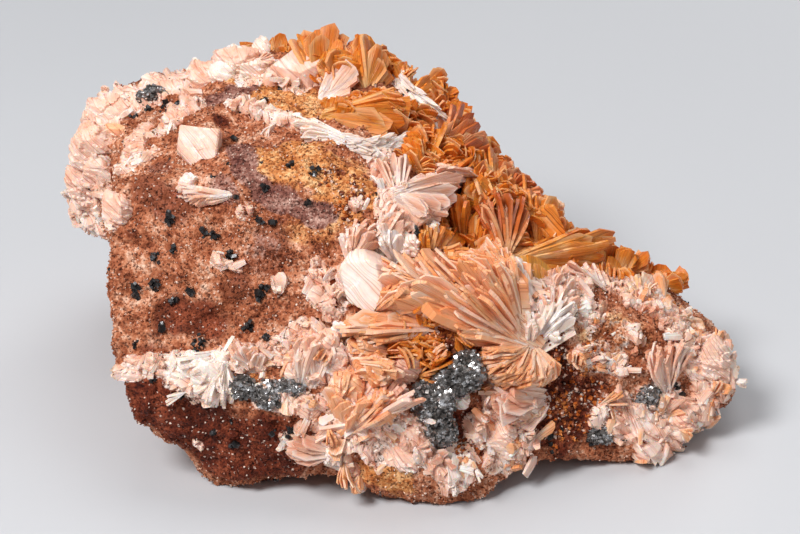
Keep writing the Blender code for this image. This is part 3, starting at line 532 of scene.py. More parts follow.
def crust_relief(points, zone):
    """How high massive barite stands on each point of the rock, and how its fibres run.

    The height is cover * (swell + flats + ribs + ledges) less what sinks it into the rock where
    its zone ends. Ribs are noise over the two flow coordinates, stretched along the second; the
    flow coordinates are the place along two directions, bent by smooth noise. The tones of the
    large and of the small flats come with them.
    """
    bend = drift(points, 14.0, 81, 2)
    flow = points @ FLOW.T + 7.0 * bend
    flats, tone = facet_cells(points + 0.8 * bend[..., [0, 1, 0]], 3.6, 84)
    small, small_tone = facet_cells(points, 1.7, 86)
    stretched = np.stack([flow[..., 0] / 0.95, flow[..., 1] / 6.5, 0.0 * tone], axis=-1)
    ribs = noise(stretched, 1.0, 88) + 0.5 * noise(2.1 * stretched, 1.0, 89)
    step = flow[..., 0] / 2.6 + 0.7 * noise(points, 5.0, 90) + tone
    ledge = step - np.floor(step) - 0.5
    cover = smooth_step(zone, *CRUST_EDGE)
    height = (1.3 * cover - 0.7 + 0.5 * noise(points, 4.0, 92) * cover
              + cover * (1.0 * flats + 0.25 * small + 0.62 * ribs + 0.55 * ledge))
    return flow, tone, small_tone, height


def grid_tree(points):
    """A tree that finds where a ray meets a ring grid of points."""
    return BVHTree.FromPolygons(points.reshape(-1, 3).tolist(), grid_quads(*points.shape[:2]).tolist())


def carve_rock(rows, columns, relief):
    """Work out the rock's finished grid of points, its normals and the masks of its zones.

    The smooth body gets broad lumps everywhere, a fine broken grain where it is sandy and
    small tilted flats where barite runs through it. Below the resting plane it is cut flat.
    """
    skin = rock_skin(rows, columns)
    normals = grid_normals(skin)
    ROCK["tree"] = grid_tree(skin)
    masks = {label: zone_mask(skin, strokes, 51 + 2 * number)
             for number, (label, strokes) in enumerate(ZONES.items())}
    white = masks.pop("white")
    broad = 0.35 * noise(skin, 6.5, 12) + 0.42 * noise(skin, 3.4, 61) + 0.5 * facets(skin, 6.0, 73)
    broken = 0.3 * noise(skin, 1.7, 62) + 0.16 * noise(skin, 0.9, 63) + 0.35 * facets(skin, 2.6, 72)
    broken = broken - 0.45 * smooth_step(noise(skin, 1.9, 66), 0.35, 0.8)
    flats = 0.75 * facets(skin, 2.6, 64) + 0.3 * facets(skin, 1.1, 71)
    share = np.clip(masks["pale"] + 0.5 * masks["growth"], 0.0, 1.0)
    height = relief * (broad + broken * (1 - 0.6 * share) + flats * (0.25 + 0.75 * share))
    finished = settled(skin + normals * height[..., None])
    for pole in (0, -1):
        finished[pole] = finished[pole].mean(axis=0)
    zone = masks["pale"] + 0.14 * noise(finished, 1.6, 91) + 0.1 * noise(finished, 3.0, 93)
    ROCK.update(points=finished, normals=grid_normals(finished), masks=masks, zone=zone, white=white,
                cover=smooth_step(zone, *CRUST_EDGE), crust=crust_relief(finished, zone)[-1],
                tree=grid_tree(finished))


def node(tree, kind, inputs=(), **settings):
    """A shader node; an input given as a socket is linked, and any other is a value."""
    made = tree.nodes.new(kind)
    for label, value in settings.items():
        setattr(made, label, value)
    for label, value in dict(inputs).items():
        if isinstance(value, bpy.types.NodeSocket):
            tree.links.new(value, made.inputs[label])
        else:
            made.inputs[label].default_value = value
    return made


def calculate(tree, operation, first, second=0.0, third=0.0):
    """One step of arithmetic on shader values."""
    return node(tree, "ShaderNodeMath", {0: first, 1: second, 2: third}, operation=operation).outputs[0]


def swayed(tree, base, value, share):
    """A value raised and lowered by a share of another one, whose own middle is one half."""
    return calculate(tree, "ADD", base, calculate(tree, "MULTIPLY_ADD", value, share, -share / 2))


def mixed(tree, share, first, second, mode="MIX"):
    """Two colours mixed by a share."""
    made = node(tree, "ShaderNodeMix", {0: share, 6: first, 7: second}, data_type="RGBA", blend_type=mode)
    return made.outputs[2]


def ranged(tree, value, low, high, start=0.0, end=1.0):
    """A value brought from one range to another, with soft ends."""
    made = node(tree, "ShaderNodeMapRange", {"Value": value, "From Min": low, "From Max": high,
                                             "To Min": start, "To Max": end},
                interpolation_type="SMOOTHSTEP")
    return made.outputs[0]


def ramp(tree, value, stops):
    """Colours along a value: each stop is a place and a screen colour."""
    made = node(tree, "ShaderNodeValToRGB", {0: value})
    elements = made.color_ramp.elements
    while len(elements) < len(stops):
        elements.new(0.5)
    for element, (where, colour) in zip(elements, stops):
        element.position = where
        element.color = linear(colour)
    return made.outputs[0]


def attribute(tree, label):
    """A value that the mesh carries at each point."""
    return node(tree, "ShaderNodeAttribute", attribute_name=label).outputs["Fac"]


def shared_group(name, inputs, outputs):
    """A new node group with named float inputs and outputs, and its two end nodes."""
    group = bpy.data.node_groups.new(name, "ShaderNodeTree")
    for label, default in inputs:
        socket = group.interface.new_socket(name=label, in_out="INPUT", socket_type="NodeSocketFloat")
        socket.default_value = default
    for label in outputs:
        group.interface.new_socket(name=label, in_out="OUTPUT", socket_type="NodeSocketFloat")
    return group, group.nodes.new("NodeGroupInput"), group.nodes.new("NodeGroupOutput")


def clouds(tree, where, scale, detail, **more):
    """Noise texture values at a place."""
    inputs = {"Vector": where, "Scale": scale, "Detail": detail, **more}
    return node(tree, "ShaderNodeTexNoise", inputs).outputs["Fac"]


def stone_grain_group():
    """Sand grains: rounded cells of one grain size, a random tone for each, and broad mottling."""
    if "Stone grain" in bpy.data.node_groups:
        return bpy.data.node_groups["Stone grain"]
    group, start, end = shared_group(
        "Stone grain", (("Grains per metre", 3200.0), ("Mottles per metre", 260.0)),
        ("Tone", "Grain", "Dome"))
    where = node(group, "ShaderNodeTexCoord").outputs["Object"]
    cells = node(group, "ShaderNodeTexVoronoi", {"Vector": where, "Scale": start.outputs[0]})
    random = node(group, "ShaderNodeSeparateColor", {0: cells.outputs["Color"]}).outputs[0]
    mottle = clouds(group, where, start.outputs[1], 6.0, Roughness=0.62)
    speckle = clouds(group, where, calculate(group, "MULTIPLY", start.outputs[1], 5.0), 4.0, Roughness=0.6)
    tone = calculate(group, "ADD", calculate(group, "MULTIPLY", mottle, 0.55),
                     calculate(group, "MULTIPLY", speckle, 0.45))
    group.links.new(tone, end.inputs["Tone"])
    group.links.new(random, end.inputs["Grain"])
    group.links.new(calculate(group, "SUBTRACT", 1.0, cells.outputs["Distance"]), end.inputs["Dome"])
    return group


# Screen colours of sand along its tone; the zones' own follow, each with the range it fades in over.
SAND_COLOURS = ((0.38, (114, 54, 30)), (0.46, (170, 96, 62)), (0.53, (202, 132, 96)), (0.62, (240, 196, 168)))
ZONE_COLOURS = (
    ("ochre", 0.2, 0.7, ((0.38, (164, 84, 34)), (0.5, (216, 142, 82)), (0.62, (252, 206, 150)))),
    # Rust colours, made darker as painted shade for the underside face, which faces down, out of the light.
    ("rust", 0.2, 0.7, ((0.38, (68, 22, 10)), (0.5, (110, 44, 22)), (0.62, (164, 86, 56)))),
    ("stain", 0.2, 0.7, ((0.38, (96, 48, 40)), (0.5, (146, 94, 80)), (0.62, (210, 168, 152)))),
    ("growth", 0.25, 0.6, ((0.38, (136, 58, 12)), (0.5, (206, 104, 34)), (0.62, (240, 160, 90)))),
    ("pale", 0.42, 0.66, ((0.36, (222, 150, 118)), (0.46, (250, 214, 194)), (0.58, (255, 246, 238)))),
)
GRAIN_SHADES = ((0.0, (128, 112, 106)), (0.3, (236, 230, 228)), (0.7, (255, 255, 255)))
FRESH_GREYS = ((0.2, (60, 56, 54)), (0.5, (122, 116, 112)), (0.7, (176, 174, 174)), (0.88, (236, 238, 242)))
DULL_GREYS = ((0.3, (22, 21, 22)), (0.6, (48, 46, 46)), (0.85, (110, 110, 112)))


def new_material(name, roughness):
    """A material with its Principled shader."""
    material = bpy.data.materials.new(name)
    material.use_nodes = True
    shader = material.node_tree.nodes["Principled BSDF"]
    shader.inputs["Roughness"].default_value = roughness
    return material, material.node_tree, shader


def bumped(tree, shader, height, distance, strength):
    """The shader's normal, tilted by a height."""
    bump = node(tree, "ShaderNodeBump", {"Height": height, "Distance": distance, "Strength": strength})
    tree.links.new(bump.outputs[0], shader.inputs["Normal"])


def sandstone_material():
    """Rusty sand in mottled terracotta, with pale, ochre, purple and deep red zones; the deep red zone is
    real rust and partly painted shade on the underside face.
    """
    if "Rusty sandstone" in bpy.data.materials:
        return bpy.data.materials["Rusty sandstone"]
    look = bpy.context.scene.sandstone_look
    material, tree, shader = new_material("Rusty sandstone", 0.8)
    shader.inputs["Specular IOR Level"].default_value = 0.25
    grain = node(tree, "ShaderNodeGroup", node_tree=stone_grain_group())
    grain.inputs["Grains per metre"].default_value = 1.0 / look.grain_size
    tone, random, dome = [grain.outputs[label] for label in ("Tone", "Grain", "Dome")]
    colour = ramp(tree, tone, SAND_COLOURS)
    for label, low, high, colours in ZONE_COLOURS:
        ragged = swayed(tree, attribute(tree, label), tone, 1.4)
        colour = mixed(tree, ranged(tree, ragged, low, high), colour, ramp(tree, tone, colours))
    colour = mixed(tree, 1.0, colour, ramp(tree, random, GRAIN_SHADES), "MULTIPLY")
    lone = swayed(tree, attribute(tree, "grain"), random, 0.6)
    colour = mixed(tree, ranged(tree, lone, -0.5, -1.1, 0.0, 0.6), colour, linear((70, 26, 14)))
    colour = mixed(tree, ranged(tree, lone, 0.55, 1.15, 0.0, 0.85), colour, linear((255, 232, 214)))
    tree.links.new(colour, shader.inputs["Base Color"])
    tree.links.new(ranged(tree, random, 0.86, 0.9, 0.82, 0.3), shader.inputs["Roughness"])
    bumped(tree, shader, calculate(tree, "MULTIPLY_ADD", tone, 1.5, dome), look.grain_relief, 0.8)
    return material


def floor_material():
    """Plain pale matt floor with a faint unevenness."""
    material, tree, shader = new_material("Studio floor", 0.6)
    where = node(tree, "ShaderNodeTexCoord").outputs["Object"]
    tone = clouds(tree, where, 3.0, 2.0)
    tree.links.new(ramp(tree, tone, ((0.3, (196, 197, 200)), (0.7, (204, 205, 208)))),
                   shader.inputs["Base Color"])
    return material


# Name, place and width in metres, power in watts.
LAMPS = (
    ("key", (-0.28, -0.30, 0.52), 0.22, 4.3),
    ("fill", (0.45, -0.28, 0.30), 0.35, 0.4),
    ("top", (0.05, 0.18, 0.60), 0.40, 1.2),
    ("rim", (0.30, 0.45, 0.28), 0.25, 0.7),
)
FLOOR_REACH, FLOOR_DROP = 2.0, 0.0002


def make_stage():
    """Floor, soft lights and the camera at the photograph's angle."""
    scene = bpy.context.scene
    look = scene.stage_look
    corners = [(x * FLOOR_REACH, y * FLOOR_REACH, -FLOOR_DROP)
               for x, y in ((-1, -1), (1, -1), (1, 1), (-1, 1))]
    mesh = bpy.data.meshes.new("floor")
    mesh.from_pydata(corners, [], [(0, 1, 2, 3)])
    mesh.materials.append(floor_material())
    floor = bpy.data.objects.new("floor", mesh)
    scene.collection.objects.link(floor)
    for name, where, width, power in LAMPS:
        data = bpy.data.lights.new(name, "AREA")
        data.size = width
        data.energy = power * look.light
        lamp = bpy.data.objects.new(name, data)
        lamp.location = where
        lamp.rotation_euler = Vector(where).to_track_quat("Z", "Y").to_euler()
        scene.collection.objects.link(lamp)
    world = bpy.data.worlds.new("studio")
    world.use_nodes = True
    sky = world.node_tree.nodes["Background"].inputs
    sky["Color"].default_value = linear((214, 218, 226))
    sky["Strength"].default_value = look.sky
    scene.world = world
    data = bpy.data.cameras.new("camera")
    data.lens = 105.0
    data.sensor_width = 36.0
    camera = bpy.data.objects.new("camera", data)
    camera.location = ((from_view(0.0, -VIEW_DISTANCE, 0.0) + SHIFT) * MM).tolist()
    camera.rotation_euler = (math.radians(90.0 - VIEW_TILT), 0.0, 0.0)
    scene.collection.objects.link(camera)
    scene.camera = camera
    scene.view_settings.view_transform = "Standard"


def make_rock():
    """The sandstone block, over the CAD stone."""
    look = bpy.context.scene.sandstone_look
    carve_rock(look.rows, look.columns, look.relief)
    faces, keep = closed_grid(look.rows, look.columns)
    part = {"points": ROCK["points"].reshape(-1, 3)[keep], "faces": faces,
            "values": {label: mask.ravel()[keep] for label, mask in ROCK["masks"].items()}}
    make_piece("matrix_sandstone", part, sandstone_material(), 50, ("matrix_stone",))


# The root, the body and the crest of a blade, and the painted shade in its grooves, as screen colours.
BARITE_COLOURS = {
    "orange_barite": ((248, 196, 142), (236, 146, 56), (212, 108, 16), (146, 60, 6)),
    "ochre_barite": ((240, 184, 104), (220, 142, 44), (200, 112, 18), (140, 66, 8)),
    "brown_barite": ((244, 180, 132), (212, 112, 48), (178, 76, 18), (112, 40, 6)),
    "peach_barite": ((255, 228, 208), (254, 188, 144), (245, 160, 102), (188, 92, 46)),
    "pink_barite": ((253, 236, 226), (247, 203, 180), (234, 167, 136), (182, 102, 74)),
    "white_barite": ((255, 248, 240), (253, 232, 218), (242, 204, 184), (206, 148, 122)),
}


def fibre_group():
    """Streaks along a blade, and clouds of milkiness through the stone.

    The streaks read the blade's own flat map, in millimetres across and along, so they run
    from root to crest. The clouds read the place in the stone.
    """
    if "Blade fibres" in bpy.data.node_groups:
        return bpy.data.node_groups["Blade fibres"]
    group, start, end = shared_group(
        "Blade fibres", (("Lines", 2.6), ("Stretch", 0.16), ("Clouds per metre", 210.0)),
        ("Streak", "Cloud", "Scratch"))
    fibres = node(group, "ShaderNodeUVMap", uv_map="fibres").outputs[0]
    flat = node(group, "ShaderNodeSeparateXYZ", {0: fibres})
    leaf = calculate(group, "MULTIPLY", attribute(group, "leaf"), 57.0)
    along = calculate(group, "MULTIPLY", flat.outputs[1], start.outputs["Stretch"])
    for label, fineness in (("Streak", 1.0), ("Scratch", 4.0)):
        lines = calculate(group, "MULTIPLY", start.outputs["Lines"], fineness)
        across = calculate(group, "MULTIPLY", flat.outputs[0], lines)
        where = node(group, "ShaderNodeCombineXYZ", {0: across, 1: along, 2: leaf}).outputs[0]
        group.links.new(clouds(group, where, 1.0, 3.0, Roughness=0.6, Distortion=0.4), end.inputs[label])
    body = node(group, "ShaderNodeTexCoord").outputs["Object"]
    group.links.new(clouds(group, body, start.outputs["Clouds per metre"], 5.0, Roughness=0.6),
                    end.inputs["Cloud"])
    return group


def barite_material(slot):
    """Barite of one colour: paler at its root, deeper towards its crest, streaked along its length, with
    painted shade in its fine grooves.
    """
    name = slot.replace("_", " ").capitalize()
    if name in bpy.data.materials:
        return bpy.data.materials[name]
    look = bpy.context.scene.barite_look
    root, body, tip, groove_shade = BARITE_COLOURS[slot]
    material, tree, shader = new_material(name, 0.35)
    for label, value in (("IOR", 1.64), ("Specular IOR Level", 0.32), ("Subsurface Weight", look.glow),
                         ("Subsurface Radius", (1.0, 0.45, 0.2)), ("Subsurface Scale", look.glow_depth)):
        shader.inputs[label].default_value = value
    fibres = node(tree, "ShaderNodeGroup", node_tree=fibre_group())
    fibres.inputs["Lines"].default_value = look.streaks
    streak, cloud, scratch = [fibres.outputs[label] for label in ("Streak", "Cloud", "Scratch")]
    grade, leaf, milk, edge = [attribute(tree, label) for label in ("grade", "leaf", "milk", "edge")]
    shade = calculate(tree, "MULTIPLY_ADD", streak, 0.9, -0.45)
    shade = swayed(tree, shade, leaf, 0.36)
    shade = calculate(tree, "ADD", shade, calculate(tree, "MULTIPLY_ADD", grade, 0.5, 0.22))
    shade = swayed(tree, shade, cloud, 1.3)
    colour = ramp(tree, shade, ((0.05, root), (0.42, body), (0.85, tip)))
    # Painted shade: the low lines of the fine scratches, which the bump sinks into grooves, turn to the
    # darkest colour.
    colour = mixed(tree, ranged(tree, scratch, 0.5, 0.3, 0.0, 0.75), colour, linear(groove_shade))
    white = swayed(tree, swayed(tree, milk, cloud, 1.6), streak, 0.8)
    colour = mixed(tree, ranged(tree, white, 0.4, 0.95, 0.0, 0.9), colour, linear((255, 248, 240)))
    rim = calculate(tree, "MULTIPLY", edge, ranged(tree, leaf, 0.45, 0.9, 0.0, 0.6))
    colour = mixed(tree, rim, colour, linear(root))
    tree.links.new(colour, shader.inputs["Base Color"])
    tree.links.new(ranged(tree, streak, 0.3, 0.7, 0.24, 0.5), shader.inputs["Roughness"])
    height = calculate(tree, "ADD", streak, calculate(tree, "MULTIPLY", scratch, 0.4))
    bumped(tree, shader, height, look.streak_height, 0.9)
    return material


def turned(vectors, axes, degrees):
    """Vectors turned about axes of length one."""
    angle = np.radians(degrees)[..., None]
    along = np.sum(vectors * axes, axis=-1, keepdims=True)
    return (vectors * np.cos(angle) + np.cross(axes, vectors) * np.sin(angle)
            + axes * along * (1 - np.cos(angle)))


def blades(root, reach, side, width, thickness, shape, seed, rows=8, columns=4):
    """Closed thin blades of barite as one part, one blade for each row of the given arrays.

    A point of a blade, for t from 0 at its root to 1 at its crest and u from -1 to 1 across,
    is root + reach * t * (1 - round * u^2 + slant * u + notches(u))
    + side * width / 2 * u * (narrow + (1 - narrow) * t^power)
    + face * (curl * t^2 * length / 4 + cup * u^2 * t * width / 4), give or take half its thickness
    along face, which is square to the other two. Edges are thinner than the middle.
    shape holds the ranges that round, slant, notches, narrow, curl and cup are drawn from.
    """
    random = np.random.default_rng(seed)
    count = len(root)

    def drawn(label):
        low, high = shape[label]
        return random.uniform(low, high, count)[:, None, None]

    t = (np.linspace(0.0, 1.0, rows) ** 0.8)[None, :, None]
    u = np.linspace(-1.0, 1.0, columns)[None, None, :]
    u = np.concatenate([u, u[..., ::-1]], axis=2)
    front = np.repeat([1.0, -1.0], columns)[None, None, :]
    notch = random.uniform(-1.0, 1.0, (count, 1, columns)) * shape["notch"]
    notch = np.concatenate([notch, notch[..., ::-1]], axis=2)
    length = np.linalg.norm(reach, axis=1)[:, None, None]
    narrow = drawn("narrow")
    spread = narrow + (1 - narrow) * t ** shape.get("power", 0.8)
    along = t * (1 - drawn("round") * u * u + drawn("slant") * u + notch * t)
    lift = drawn("curl") * along * along * length / 4 + drawn("cup") * u * u * t * width[:, None, None] / 4
    waist = 0.45 + 0.55 * np.sqrt(np.clip(1 - u * u * 0.85, 0, 1))
    half = 0.5 * thickness[:, None, None] * waist * (0.75 + 0.5 * np.sin(math.pi * np.clip(t, 0, 1) * 0.8))
    face = unit(np.cross(reach, side))
    across = 0.5 * width[:, None, None] * u * spread
    points = (root[:, None, None] + reach[:, None, None] * along[..., None]
              + side[:, None, None] * across[..., None]
              + face[:, None, None] * (lift + half * front)[..., None])
    points = settled(points + 0.12 * drift(points, 2.6, 201))
    ring = 2 * columns
    step = np.arange(columns - 1)
    foot = np.stack([step, step + 1, ring - 2 - step, ring - 1 - step], axis=1)
    block = np.concatenate([grid_quads(rows, ring), (rows - 1) * ring + foot, foot[:, ::-1]])[:, ::-1]
    faces = (block[None] + (np.arange(count) * rows * ring)[:, None, None]).reshape(-1, 4)
    rim = np.maximum(smooth_step(t, 0.86, 1.0), smooth_step(np.abs(u), 0.8, 1.0))
    values = {"grade": t, "leaf": random.uniform(0.0, 1.0, (count, 1, 1)), "edge": rim}
    across = across + random.uniform(0, 90, (count, 1, 1))
    flat = np.stack(np.broadcast_arrays(across, along * length), axis=-1)
    return {"points": points.reshape(-1, 3), "faces": [faces], "flat": flat.reshape(-1, 2),
            "values": {label: np.broadcast_to(number, (count, rows, ring)).ravel()
                       for label, number in values.items()}}


def joined(parts):
    """Several parts as one, with a flat map and values only where the last of them has these."""
    start = np.cumsum([0] + [len(part["points"]) for part in parts[:-1]])
    whole = {"points": np.concatenate([part["points"] for part in parts]),
             "faces": [block + first for part, first in zip(parts, start) for block in part["faces"]]}
    if "flat" in parts[-1]:
        whole["flat"] = np.concatenate([part["flat"] for part in parts])
        whole["values"] = {label: np.concatenate([part["values"][label] for part in parts])
                           for label in parts[-1]["values"]}
    return whole


def show_barite(name, parts, slot, milk, sharp=38, replaces=()):
    """One piece of barite from several parts, with how milky it is."""
    whole = joined(parts)
    whole["values"]["milk"] = np.full(len(whole["points"]), float(milk))
    make_piece(name, whole, barite_material(slot), sharp, replaces)


CHUNKY = {"round": (0.0, 0.1), "slant": (-0.3, 0.3), "notch": 0.12, "narrow": (0.6, 1.0),
          "curl": (-0.1, 0.1), "cup": (0.0, 0.0)}
THIN = {"round": (0.08, 0.36), "slant": (-0.14, 0.14), "notch": 0.035, "narrow": (0.25, 0.5),
        "curl": (-0.25, 0.35), "cup": (-0.5, 0.5)}
BROAD = {"round": (0.05, 0.3), "slant": (-0.12, 0.12), "notch": 0.03, "narrow": (0.15, 0.35),
         "curl": (-0.2, 0.3), "cup": (-0.3, 0.6), "power": 0.6}


def sheaf(spots, seed, turn=68.0, splay=16.0, width=3.0, thickness=0.5, density=1.0, length=1.0,
          shape=THIN, ragged=0.28, heart_share=0.3):
    """A sheaf of blades from one root towards a crest, like the pages of a half open book.

    The root is the first spot and the crest runs through the other three. Each blade takes a
    place along the crest, leans out of the sheaf's own plane by up to splay degrees, and its
    broad face is turned by turn degrees from that plane. Four broad thick blades in that plane
    are the solid heart that the others stand on.
    """
    random = np.random.default_rng(seed)
    root, first, middle, last = [place(spot) for spot in spots]
    first, middle, last = [root + (crest - root) * length for crest in (first, middle, last)]
    bend = 2 * middle - 0.5 * (first + last)
    span = np.linalg.norm(middle - first) + np.linalg.norm(last - middle)
    count = max(int(density * span / 0.32), 5)
    share = np.clip((np.arange(count) + random.uniform(-0.3, 1.3, count)) / count, 0, 1)
    share = np.concatenate([share, (0.12, 0.37, 0.63, 0.88)])[:, None]
    heart = np.arange(len(share)) >= count
    count = len(share)
    crest = (1 - share) ** 2 * first + 2 * share * (1 - share) * bend + share ** 2 * last
    tangent = unit(2 * (1 - share) * (bend - first) + 2 * share * (last - bend))
    reach = turned(crest - root, tangent, splay * random.uniform(-1, 1, count) * ~heart)
    reach = reach * np.where(heart[:, None], 0.84, random.uniform(1.04 - ragged, 1.04, (count, 1)))
    start = np.where(heart[:, None], 0.0, random.uniform(0.0, 0.35, (count, 1)) ** 1.5)
    base = root + reach * start + tangent * random.normal(0, 0.03 * span, (count, 1))
    reach = reach * (1 - start)
    facing = unit(np.cross(reach, tangent))
    along = unit(np.cross(facing, reach))
    angle = np.where(heart, 0.0, np.radians(turn + random.normal(0, 11, count)))[:, None]
    side = unit(along * np.cos(angle) + facing * np.sin(angle))
    wide = np.where(heart, 0.42 * span, width * random.uniform(0.65, 1.2, count))
    thick = np.where(heart, heart_share * width, thickness * random.uniform(0.65, 1.35, count))
    return blades(base, reach, side, wide, thick, shape, seed + 1)


# For each part of the specimen its pieces: name, slot, milkiness, how the sheaves are, and the
# root and three crest spots of each sheaf.
CRYSTALS = {
    "top": (
        ("top_blade", "pink_barite", 0.25,
         dict(turn=12, width=2.6, thickness=0.4, density=0.5, shape=BROAD), (
            ((-11.4, 25.2, -0.5), (-10, 28, 3), (-6.3, 30.3, 4.5), (-8, 26.5, 3)),)),
        ("top_rosette", "orange_barite", 0, dict(turn=35, width=4.5, thickness=0.5, splay=20, shape=BROAD), (
            ((-11.7, 26.5, -1.5), ("behind", -17, 32.3, 27),
             ("behind", -12.3, 35.6, 29), ("behind", -8, 33.8, 27)),
            ((-9.3, 27.5, 0), ("behind", -11.7, 30.2, 22),
             ("behind", -9.8, 32.8, 23), ("behind", -7.2, 30.8, 22)),)),
        ("top_right_fan", "orange_barite", 0, dict(turn=40, width=3.6, splay=22, shape=BROAD), (
            ((-5, 26.2, -1.5), ("behind", -7.4, 33.3, 26),
             ("behind", -5, 34.7, 27), ("behind", -1.2, 30.8, 25)),)),
    ),
    "upper": (
        ("shell_sheaf", "orange_barite", 0, dict(turn=70, width=4.5, thickness=0.45, splay=10, density=1.3), (
            ((-11.7, 22.6, -0.5), (-1.2, 25.5, 3), (1.5, 22.5, 4), (-1.2, 19.7, 2.5)),)),
        ("edge_fan", "orange_barite", 0, dict(turn=60, width=3.2), (
            ((3.8, 12.8, -1), (0.3, 17.6, 3), (1.5, 20.6, 4), (5.4, 21.6, 3.5)),)),
        ("edge_blades", "orange_barite", 0.15, dict(turn=50, width=2.4), (
            ((1.2, 25, -0.5), (0.3, 29.1, 2), (3.8, 27.3, 2), (5.7, 24, 2)),)),
        ("brown_wall", "brown_barite", 0, dict(turn=55, width=3.4, density=1.3), (
            ((5.6, 14.9, -1), (6.8, 22.4, 2), (11.4, 19.7, 2.2), (12.3, 14.9, 2)),)),
        ("ridge_blades", "brown_barite", 0, dict(turn=50, width=3), (
            ((16.5, 10.6, -0.5), (13, 16.4, 1), (18, 14.3, 1.2), (21.9, 10.2, 1)),)),
        ("shelf_plates", "pink_barite", 0, dict(turn=80, width=3.4, density=1.6), (
            ((12.3, 12.8, 0), (5.6, 15, 4), (5, 14.1, 5), (5.6, 12.9, 4)),)),
        ("plume_fan", "pink_barite", -0.35, dict(turn=65, width=3, density=1.9, length=0.95), (
            ((-0.9, 10.7, 0), (6, 13.2, 4), (8.3, 10, 5), (4.8, 6.2, 3.5)),)),
    ),
    "hollow": (
        ("upright_blades", "orange_barite", 0, dict(turn=35, width=2, thickness=0.55, density=1.2, splay=6), (
            ((9.5, 2.6, 0), (7.8, 10, 5), (9.2, 11.1, 6), (10.5, 10, 5)),)),
        ("curtain_fan", "brown_barite", 0, dict(turn=62, width=3.4, density=1.3), (
            ((15.8, 1, 0), (10.7, 8, 3), (13.8, 11, 4), (17.4, 8.9, 3)),)),
        ("hazy_blade", "orange_barite", 0, dict(turn=15, width=4, density=0.7, shape=BROAD), (
            ((15, 8.4, -0.5), (9.9, 10.6, 2.5), (11.4, 12.8, 3), (15.8, 12.5, 2.5)),)),
        ("wedge_fan", "orange_barite", 0, dict(turn=62, width=3, density=1.7, length=0.92, splay=12), (
            ((16.8, 0.8, 0.5), (23.7, 3.8, 3), (30, 4, 3), (32.7, 0.5, 2)),)),
        ("ochre_disc", "ochre_barite", 0,
         dict(turn=10, width=6, thickness=0.6, density=0.5, splay=8, shape=BROAD), (
            ((20.6, -5, 0), (16.8, 0, 2.5), (19.5, 1.5, 3), (22.5, -0.8, 2.5)),)),
    ),
    "middle": (
        ("swept_rosette", "peach_barite", 0,
         dict(turn=80, width=5.2, thickness=0.4, density=2.3, splay=4, ragged=0.14, heart_share=0.4), (
            ((18.3, -11.3, 0), (8.7, 0.2, 6), (13, 3.3, 7.5), (17.1, 0.2, 6)),
            ((20.4, -12.2, 0.5), (7.2, 1.4, 4), (-1.8, -0.2, 4), (0.8, -5, 4.5)),
            ((19.5, -11.9, 0), (12, -12.5, 2.5), (15, -17.6, 3), (23.4, -17, 2)),)),
        ("leaning_blades", "peach_barite", 0, dict(turn=60, width=2.6), (
            ((-4.2, -7, -0.5), (-2.3, -3.5, 3.5), (1.6, -2.8, 5), (1.6, -5.9, 4)),)),
        ("leaf_sheaf", "peach_barite", 0.1,
         dict(turn=78, width=3.4, density=2.2, splay=5, ragged=0.16, heart_share=0.45), (
            ((5.4, -9.5, -0.5), (-6.8, -7.9, 3.5), (-8.4, -9.2, 3.5), (-4.5, -11.6, 3)),)),
        ("lower_sheaf", "peach_barite", 0, dict(turn=60, width=2.8, density=1.3), (
            ((-7.5, -14, 0), (-2.3, -13.5, 3), (0.3, -16.2, 3.5), (-3, -17.4, 3)),)),
        ("peach_spray", "peach_barite", 0.35, dict(turn=40, width=4.2, length=0.9, shape=BROAD), (
            ((-7.2, -24.8, -0.5), (-10.2, -16.2, 2.5), (-4.2, -19.4, 3), (2.2, -18.4, 2.5)),)),
        ("pink_plates", "pink_barite", 0, dict(turn=25, width=5, density=0.8, shape=BROAD), (
            ((22.2, -19.4, -0.5), (15.8, -19, 1.5), (13.5, -21.2, 2), (16.5, -24.8, 1.5)),)),
    ),
    "left": (
        ("lower_left_mass", "white_barite", 0.45,
         dict(turn=62, width=2.6, thickness=0.4, density=2.4, splay=20, length=0.92, heart_share=0.5), (
            ((-26.6, -12.4, -0.2), (-34.5, -15.4, 1.3), (-30.8, -18.2, 1.6), (-27.4, -19.8, 1.4)),
            ((-26.6, -14.4, 0.2), (-31, -19.2, 1.6), (-28.4, -21.4, 2), (-25, -20.4, 1.6)),)),
        ("pink_mass", "pink_barite", 0.2, dict(turn=40, width=3), (
            ((-12.5, -17.7, -0.5), (-16.2, -11.7, 1.5), (-12.3, -9.2, 2), (-8.8, -11.7, 1.5)),)),
    ),
    "lobe": (
        ("crest_ridge", "orange_barite", 0.6, dict(turn=28, width=3.4, density=1, length=0.5, shape=BROAD), (
            ((36.5, -5.5, -1), (29.9, -1, 1), (36.8, 1.2, 1.5), (45, -6, 1)),)),
        ("crest_root", "white_barite", 0, dict(turn=30, width=3.6, length=0.6, density=0.9), (
            ((20.2, -9.2, -0.5), (22.6, -5.6, 2), (28.5, -3.6, 2), (30, -7.7, 1.5)),)),
        ("lobe_plates", "pink_barite", 0, dict(turn=40, width=3.6, density=1.2, length=0.8), (
            ((40.2, -18.8, -0.5), (36, -11.7, 2), (40.2, -8.4, 2.5), (44.6, -10, 2)),)),
    ),
    "back": (
        ("back_fan", "orange_barite", 0, dict(turn=60, width=3.6), (
            (("around", 50, 8, -0.5), ("around", 36, 24, 2.2),
             ("around", 52, 30, 2.8), ("around", 66, 22, 2.2)),)),
        ("back_spray", "pink_barite", 0, dict(turn=60, width=3.4), (
            (("around", 34, -8, -0.5), ("around", 18, 4, 2),
             ("around", 30, 10, 2.2), ("around", 42, 2, 2)),)),
    ),
}


